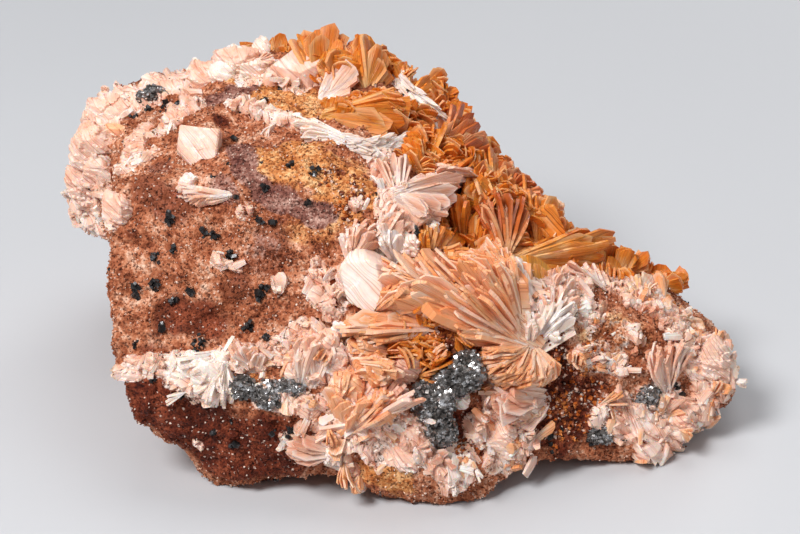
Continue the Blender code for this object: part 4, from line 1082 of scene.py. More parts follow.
def cleaved(spot, planes, seed, turn=(0.0, 0.0, 0.0), rough=0.14, ledge=1.1, rows=44, columns=64):
    """A closed broken lump of barite or galena as a part.

    Along each ray from its middle it reaches the nearest of its planes, at distance / (direction
    . ray), a little rounded where planes meet. Small tilted flats and ledges one above the
    other are then added along the ray.
    """
    polar, round_angle = np.meshgrid(np.linspace(0.0, math.pi, rows),
                                     np.linspace(0.0, 2 * math.pi, columns, endpoint=False), indexing="ij")
    rays = np.stack([np.sin(polar) * np.cos(round_angle), np.sin(polar) * np.sin(round_angle),
                     np.cos(polar)], axis=-1)
    directions = unit(np.array([direction for _, direction in planes], float))
    distances = np.array([distance for distance, _ in planes])
    reach = distances / np.maximum(rays @ directions.T, 1e-3)
    nearest = reach.min(axis=-1)
    radius = nearest - 0.1 * np.log(np.exp(-(reach - nearest[..., None]) / 0.1).sum(axis=-1))
    points = rays * radius[..., None]
    layer = points @ unit(np.array([0.35, 0.2, 1.0])) / ledge + 0.6 * noise(points, 3.0, seed + 5)
    relief = rough * facets(points, 2.8, seed) + 0.35 * rough * facets(points, 1.2, seed + 9)
    relief = relief + 0.8 * rough * (layer - np.floor(layer) - 0.5)
    points = rays * (radius + relief)[..., None]
    points = points @ np.array(Euler([math.radians(angle) for angle in turn]).to_matrix()).T + place(spot)
    points = settled(points)
    for pole in (0, -1):
        points[pole] = points[pole].mean(axis=0)
    blocks, keep = closed_grid(rows, columns)
    flat = (0.6 * points @ unit(np.array([[0.7, 0.1, 0.7], [0.1, 1.0, 0.2]])).T
            + 0.2 * noise(points, 2.4, seed + 3)[..., None])
    height = points[..., 2].ravel() - points[..., 2].mean()
    tone = np.full(keep.sum(), (seed * 0.381) % 1.0)
    return {"points": points.reshape(-1, 3)[keep], "faces": [block[:, ::-1] for block in blocks],
            "flat": flat.reshape(-1, 2)[keep],
            "values": {"grade": smooth_step(height[keep], -6.0, 8.0) * 0.6, "leaf": 0.3 + 0.4 * tone,
                       "edge": 0.0 * tone}}


def box_planes(size, chips=()):
    """The planes of a block of a given size with its corners chipped away."""
    planes = [(size[axis] / 2, tuple(sign * float(axis == other) for other in range(3)))
              for axis in range(3) for sign in (-1, 1)]
    return planes + list(chips)


def lump_planes(radii, seed, count=18):
    """Planes that touch an ellipsoid on all sides, some cut a little deeper."""
    random = np.random.default_rng(seed)
    directions = unit(random.normal(size=(count, 3)))
    directions = unit(np.concatenate([directions, -directions[: count // 2], np.eye(3), -np.eye(3)]))
    distances = np.linalg.norm(directions * np.array(radii), axis=1)
    distances = distances * random.uniform(0.8, 1.02, len(directions))
    return [(float(distance), tuple(direction)) for distance, direction in zip(distances, directions)]


# The same for broken masses: name, slot, milkiness and, for each, its spot, planes and turn.
BLOCKS = {
    "top": (
        ("top_block", "pink_barite", 0.3, (
            ((-15.4, 29.4, 1), box_planes((7.6, 5.5, 4.6), ((3.6, (1, -0.4, 0.6)), (3.2, (-0.8, 0.2, 0.7)))),
             (12, 6, -24)),)),
    ),
    "hollow": (
        ("corner_block", "orange_barite", 0, (
            ((21.2, 6.2, 0.8), box_planes((6, 4.2, 5.6), ((2.9, (-0.5, -0.6, 0.6)), (3.4, (0.9, 0.3, 0.5)))),
             (-22, -18, 14)),)),
    ),
    "middle": (
        ("angular_block", "white_barite", 0.2, (
            ((-5.4, -1.6, 1.2), box_planes((7.6, 4.6, 7.4), (
                (3.6, (0.8, -0.5, 0.7)), (3.4, (-0.7, -0.5, -0.6)), (3.8, (-0.6, -0.4, 0.8)))),
             (-14, 24, -18)),)),
    ),
    "left": (
        ("upper_left_block", "pink_barite", 0.35, (
            ((-30.2, 17.6, 0.6), box_planes((6.2, 4, 6.6), ((3, (-0.6, -0.5, -0.7)),)), (-35, 4, -6)),)),
        # Painted shade: the rear crust's milk is below zero, so it stays less pale where the light falls off
        # at the rear left.
        ("rear_crust", "pink_barite", -0.3, (
            ((-47, 12.5, -0.5), lump_planes((3.4, 4, 4.2), 301)),
            ((-46, 18, -0.5), lump_planes((4, 4, 4.2), 302)),
            ((-43.5, 23, -0.5), lump_planes((4.4, 4, 3.2), 303)))),
        ("rear_top", "pink_barite", 0, (
            ((-24.4, 30.3, -0.2), lump_planes((4.6, 3.6, 3.6), 304)),
            ((-29, 28.2, -0.2), lump_planes((3.6, 3.2, 2.8), 305)))),
    ),
    "lobe": (
        ("tip_mass", "pink_barite", -0.3, (
            ((47, -14, -0.8), lump_planes((3, 3.6, 4.2), 306)),
            ((46.2, -18.4, -0.8), lump_planes((2.6, 3, 2.8), 307)))),
    ),
}


def grow_barite(group):
    """Every large sheaf, cleavage block and broken mass of one part of the specimen."""
    for number, (name, slot, milk, how, sheaves) in enumerate(CRYSTALS[group]):
        seed = 1000 + 97 * number + 13 * len(group)
        parts = [sheaf(spots, seed + 7 * order, **how) for order, spots in enumerate(sheaves)]
        show_barite(name, parts, slot, milk, replaces=("barite_" + name,))
    for number, (name, slot, milk, lumps) in enumerate(BLOCKS.get(group, ())):
        seed = 400 + 17 * number + len(group)
        parts = [cleaved(spot, planes, seed + 5 * order, *turn, rough=0.07 if turn else 0.42, rows=52,
                         columns=72) for order, (spot, planes, *turn) in enumerate(lumps)]
        show_barite(name, parts, slot, milk, 22, ("barite_" + name,))


def galena_material(fresh=True):
    """Galena: dark lead grey metal, brighter on fresh cleavage flats, dulled between them."""
    name = "Lead grey galena" if fresh else "Dull black galena"
    if name in bpy.data.materials:
        return bpy.data.materials[name]
    material, tree, shader = new_material(name, 0.35)
    shader.inputs["Metallic"].default_value = 0.7 if fresh else 0.4
    where = node(tree, "ShaderNodeTexCoord").outputs["Object"]
    cells = node(tree, "ShaderNodeTexVoronoi", {"Vector": where, "Scale": 1900.0})
    random = node(tree, "ShaderNodeSeparateColor", {0: cells.outputs["Color"]}).outputs[0]
    tone = calculate(tree, "ADD", calculate(tree, "MULTIPLY", random, 0.5),
                     calculate(tree, "MULTIPLY", clouds(tree, where, 700.0, 4.0), 0.5))
    tree.links.new(ramp(tree, tone, FRESH_GREYS if fresh else DULL_GREYS), shader.inputs["Base Color"])
    tree.links.new(ranged(tree, random, 0.1, 0.8, 0.5, 0.2), shader.inputs["Roughness"])
    bumped(tree, shader, tone, 0.0002, 0.7)
    return material


CUBE = (np.array([(-1, -1, -1), (1, -1, -1), (1, 1, -1), (-1, 1, -1),
                  (-1, -1, 1), (1, -1, 1), (1, 1, 1), (-1, 1, 1)], float) / 2,
        np.array([(0, 3, 2, 1), (4, 5, 6, 7), (0, 1, 5, 4), (1, 2, 6, 5), (2, 3, 7, 6), (3, 0, 4, 7)]))
GRAIN = (np.array([(0.5, 0, 0), (-0.5, 0, 0), (0, 0.5, 0), (0, -0.5, 0), (0, 0, 0.5), (0, 0, -0.5)]),
         np.array([(4, 0, 2), (4, 2, 1), (4, 1, 3), (4, 3, 0), (5, 2, 0), (5, 1, 2), (5, 3, 1), (5, 0, 3)]))


def copies(body, centres, sizes, seed):
    """Many small bodies as one part: the same points turned at random, scaled and moved to each centre."""
    random = np.random.default_rng(seed)
    w, x, y, z = unit(random.normal(size=(len(centres), 4))).T
    turns = np.stack([1 - 2 * (y * y + z * z), 2 * (x * y - w * z), 2 * (x * z + w * y),
                      2 * (x * y + w * z), 1 - 2 * (x * x + z * z), 2 * (y * z - w * x),
                      2 * (x * z - w * y), 2 * (y * z + w * x), 1 - 2 * (x * x + y * y)], axis=1)
    points, faces = body
    placed = np.einsum("nij,nkj->nki", turns.reshape(-1, 3, 3), points[None] * sizes[:, None])
    placed = settled(centres[:, None] + placed)
    numbers = faces[None] + (np.arange(len(centres)) * len(points))[:, None, None]
    return {"points": placed.reshape(-1, 3), "faces": [numbers.reshape(-1, faces.shape[1])]}


def rock_spots(weights, count, seed):
    """Places drawn on the rock: cell numbers of its grid and a point inside each cell."""
    random = np.random.default_rng(seed)
    grid = ROCK["points"]
    low = grid[:-1]
    up = grid[1:] - low
    aside = np.roll(low, -1, axis=1) - low
    area = np.linalg.norm(np.cross(up, aside), axis=-1)
    share = (area * np.maximum(weights[:-1], 0.0)).ravel()
    chosen = random.choice(len(share), count, p=share / share.sum())
    inside = random.uniform(0, 1, (count, 2))
    normals = ROCK["normals"][:-1].reshape(-1, 3)[chosen]
    points = (low.reshape(-1, 3)[chosen] + up.reshape(-1, 3)[chosen] * inside[:, :1]
              + aside.reshape(-1, 3)[chosen] * inside[:, 1:])
    points = points + normals * np.maximum(ROCK["crust"][:-1].ravel()[chosen], 0.0)[:, None]
    return chosen, points, normals


def scatter_sand(number, count):
    """One lot of sand grains set in the rock, which take their colour from the rock's zones."""
    masks = ROCK["masks"]
    weights = 1.0 - 0.88 * masks["pale"] - 0.9 * masks["growth"]
    chosen, points, normals = rock_spots(weights, count, 800 + number)
    random = np.random.default_rng(820 + number)
    sizes = random.uniform(0.26, 0.5, (count, 3)) * random.uniform(0.8, 1.25, (count, 1))
    part = copies(GRAIN, points + normals * 0.04, sizes, 840 + number)
    values = {label: mask[:-1].ravel()[chosen] for label, mask in masks.items()}
    values["grain"] = random.uniform(-1.0, 1.0, count)
    show_sand("sand_grains_%d" % number, part, values)


def show_sand(name, part, values):
    """A piece of sand from copies of GRAIN and values for each of them."""
    part["values"] = {label: np.repeat(numbers, len(GRAIN[0])) for label, numbers in values.items()}
    make_piece(name, part, sandstone_material())


def small_sheaves(name, slot, weights, count, length, width, outward, fan, milk, seed, sunk):
    """Many small open sheaves grown on the rock where the weights say so.

    Each has a direction between the rock's normal and a random one, and its blades turn about
    an axis square to it, evenly from -fan to fan degrees.
    """
    random = np.random.default_rng(seed)
    _, points, normals = rock_spots(weights, count, seed + 1)
    lean = unit(normals * outward + unit(drift(points, 9.0, seed + 3)) * 0.6
                + random.normal(size=(count, 3)) * 0.22)
    axis = unit(np.cross(lean, random.normal(size=(count, 3)) + 1.2 * normals))
    angles = np.linspace(-fan, fan, SHEAF_BLADES)[None] + random.normal(0, 4, (count, SHEAF_BLADES))
    total = count * SHEAF_BLADES
    axes, lean, root = [np.repeat(each, SHEAF_BLADES, axis=0)
                        for each in (axis, lean, points - normals * sunk)]
    reach = turned(lean, axes, angles.ravel())
    size = np.repeat(random.uniform(*length, count), SHEAF_BLADES) * random.uniform(0.7, 1.1, total)
    part = blades(root, reach * size[:, None], axes, random.uniform(*width, total),
                  random.uniform(0.2, 0.42, total), THIN, seed + 2, rows=6, columns=4)
    show_barite(name, [part], slot, milk)


def shards(name, slot, weights, count, length, milk, seed):
    """Broken slips of massive barite, bedded nearly flat in the rock along one smooth drift."""
    random = np.random.default_rng(seed)
    _, points, normals = rock_spots(weights, count, seed + 1)
    bed = unit(np.cross(normals, np.cross(unit(drift(points, 9.0, 923)), normals)))
    lean = unit(bed + normals * random.normal(0.12, 0.16, (count, 1)) + random.normal(size=(count, 3)) * 0.16)
    side = unit(np.cross(lean, normals + random.normal(size=(count, 3)) * 0.7))
    size = random.uniform(*length, count)
    part = blades(points - lean * size[:, None] * 0.5 - normals * 0.15, lean * size[:, None], side,
                  size * random.uniform(0.25, 0.6, count), random.uniform(0.4, 1.1, count), CHUNKY, seed + 2,
                  rows=3, columns=3)
    show_barite(name, [part], slot, milk)


SHEAF_BLADES = 6
# Name, slot, zone, count, lengths, widths, pull outwards, fan in degrees, milk, seed, depth of the root.
CARPETS = (
    ("orange_carpet_front", "orange_barite", "front", 250, (2.0, 4.6), (1.8, 4.0), 1.0, 32, 0.0, 900, 0.8),
    ("orange_carpet_back", "orange_barite", "back", 220, (2.0, 4.6), (1.8, 4.0), 1.0, 32, 0.0, 910, 0.8),
    ("pale_flakes", "pink_barite", "pale", 40, (1.8, 3.6), (0.8, 1.8), 0.14, 14, 0.2, 920, 0.2),
    ("white_flakes", "white_barite", "pale", 30, (1.6, 3.4), (0.6, 1.4), 0.14, 12, 0.45, 930, 0.2),
    ("peach_flakes", "peach_barite", "peach", 36, (2.2, 4.6), (1.0, 2.4), 0.3, 18, 0.1, 940, 0.4),
)
# Name, slot, zone, count, lengths, milk, seed.
SHARDS = (
    ("pink_shards", "pink_barite", "pale", 260, (1.0, 3.4), 0.1, 950),
    ("white_shards", "white_barite", "pale", 200, (0.8, 2.8), 0.4, 960),
    ("peach_shards", "peach_barite", "peach", 140, (1.2, 3.6), 0.0, 970),
)
CRUST_DEPTH, BARE_COVER = 1.3, 0.05


def finer(grid):
    """A ring grid with one more row between every two, halfway between them."""
    between = 0.5 * (grid[:-1] + grid[1:])
    doubled = np.empty((2 * len(grid) - 1,) + grid.shape[1:])
    doubled[0::2] = grid
    doubled[1::2] = between
    return doubled


def without_pinches(kept):
    """Cells of a ring grid, with the gaps filled where two of them would meet at a corner alone."""
    while True:
        beside = np.roll(kept, -1, axis=1)
        pinched = (kept[:-1] == beside[1:]) & (beside[:-1] == kept[1:]) & (kept[:-1] != kept[1:])
        if not pinched.any():
            return kept
        both = pinched | np.roll(pinched, 1, axis=1)
        kept = kept.copy()
        kept[:-1] |= both
        kept[1:] |= both


def fill_gaps():
    """Massive barite between the sheaves: a skin on the rock where its crust stands, closed behind.

    The inner skin lies CRUST_DEPTH below the rock's surface, and a wall joins the two along the
    rim of the cells that are kept.
    """
    points, normals, cover = [finer(ROCK[label]) for label in ("points", "normals", "cover")]
    rows, columns = cover.shape
    flow, tone, small_tone, height = crust_relief(points, finer(ROCK["zone"]))
    outer = settled(points + normals * height[..., None])
    inner = points - normals * CRUST_DEPTH
    inner[..., 2] = np.maximum(inner[..., 2], 0.02)
    quads = grid_quads(rows, columns)
    kept = (cover.ravel()[quads] > BARE_COVER).any(axis=1).reshape(rows - 1, columns)
    kept[[0, -1]] = False
    quads = quads[without_pinches(kept).ravel()]
    edges = np.stack([quads, np.roll(quads, -1, axis=1)], axis=-1).reshape(-1, 2)
    _, number, uses = np.unique(np.sort(edges, axis=1), axis=0, return_inverse=True, return_counts=True)
    rim = edges[uses[number.ravel()] == 1]
    total = rows * columns
    walls = np.stack([rim[:, 1], rim[:, 0], rim[:, 0] + total, rim[:, 1] + total], axis=1)
    used, faces = np.unique(np.concatenate([quads, quads[:, ::-1] + total, walls]), return_inverse=True)
    # Painted shade: where the crust stands low, in its recesses, it turns to the deeper crest colour and is
    # less milky.
    low = np.clip(0.5 - height, 0.0, 1.2)
    values = {"grade": 0.6 * tone + 0.9 * low, "leaf": 0.5 + 0.0 * cover, "edge": 0.0 * cover,
              "milk": 0.6 * small_tone * tone - 0.35 * low + finer(ROCK["white"])}
    part = {"points": np.concatenate([outer.reshape(-1, 3), inner.reshape(-1, 3)])[used],
            "faces": [faces.reshape(-1, 4)], "flat": np.tile(flow.reshape(-1, 2), (2, 1))[used],
            "values": {label: np.tile(numbers.ravel(), 2)[used] for label, numbers in values.items()}}
    make_piece("massive_barite", part, barite_material("pink_barite"), 24)


def grow_carpet():
    """The small blades between the large sheaves, on the front and round the back."""
    fill_gaps()
    masks, points = ROCK["masks"], ROCK["points"]
    facing = points[..., 1] < CORE[1] + 6
    inside = smooth_step(points[..., 1], -35.0, -32.0)
    middle = (points[..., 0] > -22) & (points[..., 2] < 27)
    growth = np.clip(masks["growth"] - 0.25, 0, 1) * (points[..., 2] > 9)
    weights = {"front": growth * facing, "back": growth * ~facing,
               "pale": np.clip(masks["pale"] - 0.3, 0, 1) * inside,
               "peach": np.clip(masks["growth"] + masks["pale"] - 0.6, 0, 1) * middle * facing * inside}
    for name, slot, zone, *how in CARPETS:
        small_sheaves(name, slot, weights[zone], *how)
    for name, slot, zone, *how in SHARDS:
        shards(name, slot, weights[zone], *how)


def grow_white_rim():
    """Low ridges of short fibres, each along a line that the fibres lean across."""
    parts = []
    for order, (spots, width, height) in enumerate(WHITE_RIM):
        random = np.random.default_rng(700 + order)
        knots = np.array([place(spot) for spot in spots])
        count = int(np.linalg.norm(np.diff(knots, axis=0), axis=1).sum() * 11)
        station = random.uniform(0, len(knots) - 1, count)
        stops = np.arange(len(knots))
        line, ahead = [np.stack([np.interp(station, stops, each[:, axis]) for axis in range(3)], axis=1)
                       for each in (knots, np.gradient(knots, axis=0))]
        towards = unit(view_line(-1.0))
        aside = unit(np.cross(ahead, towards))
        root = (line + aside * random.uniform(-0.5, 0.5, (count, 1)) * width - towards * height * 0.35
                - unit(ahead) * 2.0)
        reach = (unit(ahead) * random.uniform(2.4, 6.0, (count, 1))
                 + towards * random.uniform(-0.2, 0.9, (count, 1))
                 + aside * random.normal(0, 0.5, (count, 1)))
        side = unit(np.cross(reach, towards + 0.3 * random.normal(size=(count, 3))))
        parts.append(blades(root, reach, side, random.uniform(0.35, 0.9, count),
                            random.uniform(0.22, 0.45, count), THIN, 710 + order, rows=6, columns=3))
    show_barite("white_rim", parts, "white_barite", 0.3, replaces=("barite_white_rim",))


# Spots of each ridge's line, how wide it is and how far it sinks.
WHITE_RIM = (
    (((-9.6, 18.9, 0.6), (-6.8, 17.9, 1.4), (-3.2, 17.3, 2), (0.8, 18.6, 2.5), (5.4, 22.6, 2.5)), 2.6, 2.6),
    (((-2.2, 30.6, 1), (0.2, 27.0, 2), (2.9, 24.4, 2.2), (5.4, 22.4, 2.2)), 2.8, 2.6),
)
# Name, spot and radii of each lump, and number of cubes.
GALENA = (
    ("nodule", (((9.8, -15.8, 1.3), (3.6, 3.0, 3.4)), ((7.0, -17.4, 1.0), (3.0, 2.8, 3.0)),
                ((5.2, -20.4, 1.3), (3.4, 2.9, 3.8)), ((6.0, -24.8, 0.6), (2.9, 2.3, 3.0))), 1800),
    ("lower_left", (((-23.6, -18.0, 0.0), (2.5, 1.8, 1.7)), ((-19.8, -18.9, 0.0), (2.8, 1.8, 1.9)),
                    ((-16.2, -17.9, 0.0), (2.2, 1.6, 1.6))), 700),
    ("rear_left", (((-36.8, 25.4, 0.0), (2.8, 1.8, 1.9)),), 300),
    ("right_lobe", (((37.2, -19.6, 0.0), (2.2, 1.7, 1.8)),), 260),
    ("lobe_foot", (((29.8, -25.0, 0.0), (2.4, 1.8, 1.8)),), 260),
)
# From here on places are pixels of the photograph, across and down.
BLACK_GRAINS = (
    (203, 233), (214, 235), (170, 216), (171, 221), (174, 250), (155, 255), (230, 254), (313, 172),
    (307, 204), (266, 188), (261, 220), (272, 221), (232, 139), (280, 88), (135, 286), (136, 294),
    (156, 282), (154, 286), (154, 258), (173, 301), (190, 291), (163, 329), (200, 342), (232, 256),
    (247, 323), (251, 327), (259, 295), (266, 288), (267, 338), (180, 398), (445, 196), (461, 193),
    (415, 232), (502, 172), (502, 178), (511, 179), (517, 175), (480, 180), (477, 179), (461, 147),
    (468, 160), (553, 244), (458, 265), (543, 268), (410, 310), (413, 312), (435, 292), (453, 312),
    (406, 96), (410, 108), (427, 119), (213, 432), (233, 445), (273, 433), (291, 431), (548, 438),
    (603, 438), (623, 440), (641, 397), (676, 387), (528, 413), (505, 430), (238, 384), (246, 390),
    (262, 396), (272, 393), (290, 380), (300, 378), (440, 200), (569, 279), (430, 95), (352, 103),
    (290, 165), (245, 110), (262, 104), (148, 110), (122, 100), (135, 118), (150, 92), (602, 432),
    (590, 440), (180, 105), (189, 108), (199, 104), (166, 104), (174, 107),
)


def seen(x, y):
    """The place across and up of a pixel of the photograph."""
    return (x - 400) * PIXEL, (267 - y) * PIXEL


def form_galena():
    """The galena lumps, each set with small cubes, and the black grains strewn over the specimen."""
    for number, (name, lumps, cubes) in enumerate(GALENA):
        random = np.random.default_rng(500 + number)
        parts = [cleaved(spot, lump_planes(radii, 510 + 7 * number + order, 26), 520 + 9 * number + order,
                         rough=0.3, ledge=0.8, rows=40, columns=56)
                 for order, (spot, radii) in enumerate(lumps)]
        seats = joined(parts)["points"]
        seats = seats[random.choice(len(seats), cubes)]
        sizes = np.repeat(random.uniform(0.22, 0.6, (cubes, 1)), 3, axis=1)
        make_piece("galena_lumps_" + name, joined(parts + [copies(CUBE, seats, sizes, 530 + number)]),
                   galena_material(), replaces=("galena_" + name,))
    random = np.random.default_rng(560)
    bare = (1.0 - 0.5 * ROCK["masks"]["growth"]) * (ROCK["cover"] < BARE_COVER)
    _, strewn, _ = rock_spots(bare, 170, 561)
    marked = np.array([place((*seen(x, y), 0.1)) for x, y in BLACK_GRAINS])
    centres = np.concatenate([np.repeat(marked, 7, axis=0) + random.normal(0, 0.3, (len(marked) * 7, 3)),
                              np.repeat(strewn, 3, axis=0) + random.normal(0, 0.2, (len(strewn) * 3, 3))])
    sizes = np.concatenate([random.uniform(0.35, 0.75, (len(marked) * 7, 1)),
                            random.uniform(0.2, 0.5, (len(strewn) * 3, 1))])
    part = copies(CUBE, centres, sizes * random.uniform(0.7, 1.3, (len(sizes), 3)), 562)
    make_piece("galena_grains", part, galena_material(False))


# Name, slot, milkiness, how the sheaves are, and for each its root and three crest places, and
# the lift of the crest.
SMALL_SHEAVES = (
    ("hollow_blades", "orange_barite", 0, dict(turn=40, width=3.6, density=0.9, shape=BROAD), (
        ((466, 262, -0.5), (443, 250), (447, 256), (455, 263), 2),
        ((443, 263, -0.5), (455, 243), (462, 242), (468, 250), 2.2),
        ((428, 260, -1), (418, 234), (432, 226), (446, 236), -0.6),
        ((505, 202, -1), (480, 180), (490, 172), (505, 180), 1.6),
        ((522, 216, -1), (503, 192), (520, 184), (536, 194), 1.6),
        ((538, 256, -1), (518, 206), (530, 200), (542, 206), 2.2),
        ((556, 258, -1), (545, 214), (556, 210), (563, 224), 1.6),
        ((474, 256, -1), (470, 216), (478, 206), (488, 212), 2.4),
        ((500, 264, -1), (476, 252), (480, 240), (492, 234), 2.2),
        ((492, 192, -0.8), (470, 172), (480, 160), (495, 160), 1.6),
        ((462, 130, -0.8), (438, 108), (450, 98), (462, 112), 1.4),
        ((444, 118, -0.8), (414, 92), (424, 80), (438, 92), 1.4),
        ((408, 92, -0.8), (384, 66), (396, 60), (410, 74), 1.6),
        ((536, 236, -1), (530, 206), (548, 202), (560, 212), 2),
        ((600, 268, -0.6), (572, 250), (584, 240), (604, 244), 2),)),
    ("swept_blades", "peach_barite", 0.05, dict(turn=70, width=3, density=1.2), (
        ((524, 345, 0), (462, 288), (470, 268), (486, 256), 5),
        ((522, 340, 0), (486, 262), (494, 252), (508, 254), 5.5),
        ((526, 346, 0), (430, 296), (440, 284), (455, 276), 5),
        ((528, 348, 0), (420, 300), (400, 286), (398, 272), 4.6),
        ((530, 350, 0), (470, 330), (452, 322), (446, 308), 3.6),
        ((528, 356, 0), (520, 384), (540, 384), (556, 372), 2.4),
        ((436, 330, -0.4), (380, 316), (354, 318), (350, 330), 3.2),
        ((392, 352, -0.4), (352, 338), (348, 348), (360, 358), 2.4),
        ((402, 382, -0.4), (360, 362), (354, 372), (372, 384), 2.6),
        ((342, 408, -0.4), (330, 376), (346, 366), (366, 376), 2.2),
        ((362, 416, -0.4), (372, 392), (388, 388), (402, 396), 2.4),
        ((402, 302, -0.4), (404, 288), (416, 286), (420, 296), 3.6),)),
    ("lower_blades", "pink_barite", 0.05, dict(turn=60, width=2.4, density=1.3), (
        ((350, 432, -0.4), (386, 392), (406, 384), (424, 394), 2.4),
        ((336, 452, -0.4), (292, 432), (286, 446), (302, 462), 1.6),
        ((540, 400, -0.4), (498, 384), (492, 402), (506, 416), 2.2),
        ((298, 392, -0.4), (292, 346), (312, 334), (334, 348), 2.2),
        ((330, 384, -0.4), (318, 346), (334, 336), (346, 352), 2.4),
        ((256, 372, -0.4), (226, 350), (242, 342), (262, 352), 1.6),
        ((352, 262, -0.4), (344, 232), (362, 222), (384, 232), 1.8),
        ((378, 256, -0.4), (384, 214), (398, 204), (408, 226), 2),
        ((398, 204, -0.4), (372, 168), (392, 160), (412, 168), 1.6),
        ((606, 292, -0.4), (560, 276), (572, 268), (600, 272), 1.8),
        ((548, 330, -0.4), (534, 296), (556, 288), (578, 298), 2.2),
        ((232, 196, -0.4), (176, 186), (180, 198), (200, 204), 1.2),)),
    ("pale_blades", "white_barite", 0.2, dict(turn=60, width=2, density=1.3), (
        ((344, 138, -0.2), (300, 120), (292, 128), (306, 140), 1),
        ((395, 262, -0.2), (372, 236), (384, 222), (400, 232), 1.6),
        ((530, 350, 0), (528, 318), (560, 300), (580, 318), 2.4),
        ((526, 300, 0), (508, 262), (514, 256), (522, 268), 5.4),
        ((344, 470, -0.2), (322, 458), (326, 450), (338, 448), 0.8),)),
)

# Name, slot, milkiness, and the place and radii of each lump.
LUMPS = (
    ("top_lumps", "white_barite", 0.3, (
        ((238, 66, -0.4), (3.4, 2.6, 3.4)), ((262, 54, 0), (1.5, 2, 3.4)),
        ((222, 76, -0.4), (2.6, 2.2, 2.2)), ((254, 70, -0.2), (2.4, 2, 2.2)),)),
    ("olive_lump", "ochre_barite", 0, (
        ((478, 147, 0.4), (2.4, 2, 1.7)), ((470, 152, 0.2), (1.5, 1.5, 1.3)),)),
    ("white_lumps", "white_barite", 0.55, (
        ((206, 378, 0.2), (2.6, 2.2, 3.6)), ((192, 364, 0), (2.4, 1.8, 2)), ((220, 362, 0), (2, 1.8, 1.8)),
        ((341, 329, 1.2), (1.3, 1.2, 1.4)), ((554, 336, 0.4), (1.2, 1.1, 1.3)),
        ((460, 401, 0.8), (1.5, 1.2, 1.3)), ((432, 232, 0.2), (1.2, 1.2, 1.8)),
        ((412, 246, 0.4), (1.4, 1.2, 2)),)),
    ("pink_lumps", "pink_barite", 0.12, (
        ((318, 350, 0), (3.2, 2.4, 3)), ((334, 366, 0), (2.6, 2.2, 2.4)), ((405, 368, 0.2), (2.4, 2, 2.7)),
        ((300, 372, -0.2), (2.2, 1.8, 2)), ((352, 276, 0), (2.6, 2.2, 2.6)),
        ((376, 292, 0.4), (2.2, 2, 2.2)), ((520, 410, -0.2), (3.2, 2.2, 3)),
        ((500, 436, -0.4), (2.8, 2.2, 2.8)), ((188, 182, -0.2), (1.5, 1.4, 1.5)),
        ((560, 306, -0.2), (2.6, 2, 2.2)), ((676, 424, -0.4), (3.2, 2.4, 2.6)),
        ((98, 168, -0.4), (2.6, 2.6, 3)), ((120, 212, -0.4), (2.6, 2.4, 2.8)),
        ((170, 92, -0.4), (3, 2.4, 2.2)), ((460, 486, -0.2), (1.2, 1.1, 1.2)),
        ((358, 484, -0.2), (1.3, 1.2, 1.2)), ((406, 456, -0.2), (2.6, 2, 2)),)),
    ("peach_lumps", "peach_barite", 0.05, (
        ((348, 390, 0.4), (2.8, 2.4, 3.4)), ((364, 404, 0.2), (2.2, 2, 2)), ((380, 282, 0.2), (2.4, 2, 2)),
        ((117, 132, 0), (1.8, 1.6, 1.4)), ((690, 330, -0.2), (2.2, 1.8, 1.8)),
        ((446, 108, 0), (1.6, 1.5, 1.3)), ((468, 126, 0), (1.5, 1.4, 1.3)),
        ((536, 196, 0), (1.3, 1.3, 1.3)), ((556, 208, 0.2), (1.3, 1.2, 1.6)),)),
)


def grow_small():
    """The smaller sheaves and broken lumps between the large ones, each where the photograph has it."""
    for number, (name, slot, milk, how, rows) in enumerate(SMALL_SHEAVES):
        parts = []
        for order, (root, *crest, lift) in enumerate(rows):
            spots = [(*seen(*root[:2]), root[2])] + [(*seen(*spot), lift) for spot in crest]
            parts.append(sheaf(spots, 2000 + 101 * number + 3 * order, **how))
        show_barite(name, parts, slot, milk)
    for number, (name, slot, milk, lumps) in enumerate(LUMPS):
        parts = [cleaved((*seen(x, y), lift), lump_planes(radii, 610 + 31 * number + order, 10), 620 + order,
                         rough=0.3, rows=30, columns=42) for order, ((x, y, lift), radii) in enumerate(lumps)]
        show_barite(name, parts, slot, milk, 22)


# Place and radius of each crust.
DRUSE = (
    (530, 340, 2.4), (548, 330, 2.2), (556, 352, 2.2), (382, 360, 1.6), (446, 346, 2.4), (458, 332, 1.6),
    (434, 360, 1.6), (570, 380, 3.4), (584, 410, 3.6), (560, 430, 3), (590, 360, 2.6), (470, 448, 2.4),
    (326, 300, 2), (312, 412, 2), (340, 428, 1.8), (360, 190, 2.4), (346, 206, 2.2), (330, 176, 2),
    (536, 372, 2.6), (600, 396, 2.6), (552, 400, 2.6),
)


def grow_druse():
    """Crusts of small rusty glinting crystals in the gaps between the sheaves."""
    random = np.random.default_rng(640)
    centres = []
    for x, y, radius in DRUSE:
        count = int(radius * radius * 9)
        turn = random.uniform(0, 2 * math.pi, count)
        reach = radius * np.sqrt(random.uniform(0, 1, count))
        across, up = seen(x, y)
        centres += [place((across + step * math.cos(angle), up + step * math.sin(angle), 0.05))
                    for angle, step in zip(turn, reach)]
    count = len(centres)
    sizes = random.uniform(0.4, 1.0, (count, 1)) * random.uniform(0.7, 1.3, (count, 3))
    # These grains take the rust zone's colours, which are darkened with painted shade for the underside face.
    values = {"rust": random.uniform(0.3, 1.0, count), "growth": random.uniform(0.0, 0.8, count),
              "grain": random.uniform(-1.0, 1.0, count)}
    show_sand("rusty_druse", copies(GRAIN, np.array(centres), sizes, 641), values)


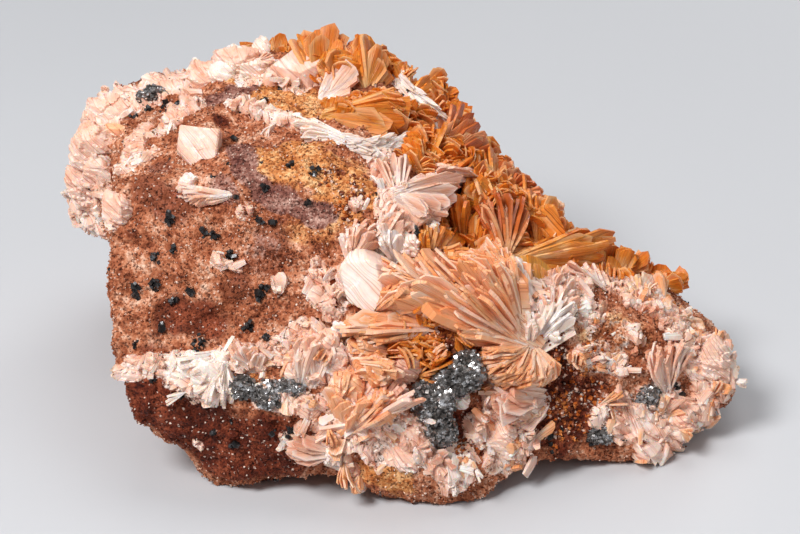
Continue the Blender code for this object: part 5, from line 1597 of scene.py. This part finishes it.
class SandstoneLook(bpy.types.PropertyGroup):
    """Sizes of the sandstone block's surface."""

    rows: bpy.props.IntProperty(name="Rows", description="Grid rows from end to end",
                                default=320, min=40, max=340)
    columns: bpy.props.IntProperty(name="Columns", description="Grid columns round the block",
                                   default=305, min=40)
    relief: bpy.props.FloatProperty(name="Relief", description="Share of the broken surface's height",
                                    default=1.0, min=0.0, max=2.0, subtype="FACTOR")
    grain_size: bpy.props.FloatProperty(name="Grain size", description="Size of one sand grain",
                                        default=0.0003, unit="LENGTH", subtype="DISTANCE", precision=5)
    grains: bpy.props.IntProperty(name="Grains", description="Sand grains in each of two lots", default=21000,
                                  min=10, max=24900)
    grain_relief: bpy.props.FloatProperty(name="Grain relief", description="Height of one sand grain",
                                          default=0.00012, unit="LENGTH", subtype="DISTANCE", precision=5)


class BariteLook(bpy.types.PropertyGroup):
    """How the barite blades take the light."""

    glow: bpy.props.FloatProperty(name="Glow", description="Share of the light that passes through a blade",
                                  default=0.3, min=0.0, max=1.0, subtype="FACTOR")
    glow_depth: bpy.props.FloatProperty(name="Glow depth", description="How far light spreads in the blades",
                                        default=0.001, unit="LENGTH", subtype="DISTANCE", precision=5)
    streaks: bpy.props.FloatProperty(name="Streaks", default=1.8, min=0.1,
                                     description="Streaks on each millimetre of a blade's width")
    streak_height: bpy.props.FloatProperty(name="Streak height", description="Height of the streaks",
                                           default=0.00025, unit="LENGTH", subtype="DISTANCE", precision=5)


class StageLook(bpy.types.PropertyGroup):
    """Brightness of the studio."""

    light: bpy.props.FloatProperty(name="Lamps", description="Share of the lamps' power",
                                   default=1.0, min=0.0)
    sky: bpy.props.FloatProperty(name="Sky", description="Strength of the light from all around",
                                 default=0.18, min=0.0)


class SPECIMEN_OT_stage(bpy.types.Operator):
    """Set up the floor, the lights and the camera"""

    bl_idname = "specimen.stage"
    bl_label = "Stage"

    def execute(self, context):
        make_stage()
        return {"FINISHED"}


class SPECIMEN_OT_rock(bpy.types.Operator):
    """Carve the sandstone block"""

    bl_idname = "specimen.rock"
    bl_label = "Sandstone block"

    def execute(self, context):
        make_rock()
        return {"FINISHED"}


class SPECIMEN_OT_sand(bpy.types.Operator):
    """Strew sand grains over the sandstone"""

    bl_idname = "specimen.sand"
    bl_label = "Sand grains"

    def execute(self, context):
        for number in range(1, 3):
            scatter_sand(number, context.scene.sandstone_look.grains)
        return {"FINISHED"}


class SPECIMEN_OT_top_crystals(bpy.types.Operator):
    """Grow the barite at the top"""

    bl_idname = "specimen.top_crystals"
    bl_label = "Barite at the top"

    def execute(self, context):
        grow_barite("top")
        return {"FINISHED"}


class SPECIMEN_OT_upper_crystals(bpy.types.Operator):
    """Grow the barite above the hollow"""

    bl_idname = "specimen.upper_crystals"
    bl_label = "Barite above the hollow"

    def execute(self, context):
        grow_barite("upper")
        grow_white_rim()
        return {"FINISHED"}


class SPECIMEN_OT_hollow_crystals(bpy.types.Operator):
    """Grow the barite in the hollow"""

    bl_idname = "specimen.hollow_crystals"
    bl_label = "Barite in the hollow"

    def execute(self, context):
        grow_barite("hollow")
        return {"FINISHED"}


class SPECIMEN_OT_middle_crystals(bpy.types.Operator):
    """Grow the barite in the middle"""

    bl_idname = "specimen.middle_crystals"
    bl_label = "Barite in the middle"

    def execute(self, context):
        grow_barite("middle")
        return {"FINISHED"}


class SPECIMEN_OT_left_crystals(bpy.types.Operator):
    """Grow the barite on the left"""

    bl_idname = "specimen.left_crystals"
    bl_label = "Barite on the left"

    def execute(self, context):
        grow_barite("left")
        return {"FINISHED"}


class SPECIMEN_OT_lobe_crystals(bpy.types.Operator):
    """Grow the barite on the right lobe"""

    bl_idname = "specimen.lobe_crystals"
    bl_label = "Barite on the right lobe"

    def execute(self, context):
        grow_barite("lobe")
        return {"FINISHED"}


class SPECIMEN_OT_back_crystals(bpy.types.Operator):
    """Grow the barite on the back"""

    bl_idname = "specimen.back_crystals"
    bl_label = "Barite on the back"

    def execute(self, context):
        grow_barite("back")
        return {"FINISHED"}


class SPECIMEN_OT_carpet(bpy.types.Operator):
    """Grow the small blades between the large sheaves"""

    bl_idname = "specimen.carpet"
    bl_label = "Small blades"

    def execute(self, context):
        grow_carpet()
        return {"FINISHED"}


class SPECIMEN_OT_small(bpy.types.Operator):
    """Grow the smaller sheaves and broken lumps"""

    bl_idname = "specimen.small"
    bl_label = "Small sheaves and lumps"

    def execute(self, context):
        grow_small()
        return {"FINISHED"}


class SPECIMEN_OT_druse(bpy.types.Operator):
    """Grow the rusty crusts in the gaps"""

    bl_idname = "specimen.druse"
    bl_label = "Rusty crusts"

    def execute(self, context):
        grow_druse()
        return {"FINISHED"}


class SPECIMEN_OT_galena(bpy.types.Operator):
    """Form the galena lumps and grains"""

    bl_idname = "specimen.galena"
    bl_label = "Galena"

    def execute(self, context):
        form_galena()
        return {"FINISHED"}


OPERATORS = (
    SPECIMEN_OT_stage,
    SPECIMEN_OT_rock,
    SPECIMEN_OT_sand,
    SPECIMEN_OT_top_crystals,
    SPECIMEN_OT_upper_crystals,
    SPECIMEN_OT_hollow_crystals,
    SPECIMEN_OT_middle_crystals,
    SPECIMEN_OT_left_crystals,
    SPECIMEN_OT_lobe_crystals,
    SPECIMEN_OT_back_crystals,
    SPECIMEN_OT_carpet,
    SPECIMEN_OT_small,
    SPECIMEN_OT_druse,
    SPECIMEN_OT_galena,
)


class SPECIMEN_PT_panel(bpy.types.Panel):
    """The specimen's settings and the steps that build it"""

    bl_idname = "SPECIMEN_PT_panel"
    bl_label = "Barite specimen"
    bl_space_type = "VIEW_3D"
    bl_region_type = "UI"
    bl_category = "Specimen"

    def draw(self, context):
        for name, group in LOOKS:
            for label in group.__annotations__:
                self.layout.prop(getattr(context.scene, name), label)
        for operator in OPERATORS:
            self.layout.operator(operator.bl_idname)


LOOKS = (("sandstone_look", SandstoneLook), ("barite_look", BariteLook), ("stage_look", StageLook))


def register():
    """Register every class and hang the settings on the scene."""
    for name, group in LOOKS:
        bpy.utils.register_class(group)
        setattr(bpy.types.Scene, name, bpy.props.PointerProperty(type=group))
    for item in OPERATORS + (SPECIMEN_PT_panel,):
        bpy.utils.register_class(item)


def unregister():
    """Undo register."""
    for item in reversed(OPERATORS + (SPECIMEN_PT_panel,)):
        bpy.utils.unregister_class(item)
    for name, group in reversed(LOOKS):
        delattr(bpy.types.Scene, name)
        bpy.utils.unregister_class(group)


def main():
    """Build the whole scene."""
    register()
    for operator in OPERATORS:
        area, name = operator.bl_idname.split(".")
        getattr(getattr(bpy.ops, area), name)()


if __name__ == "__main__":
    main()
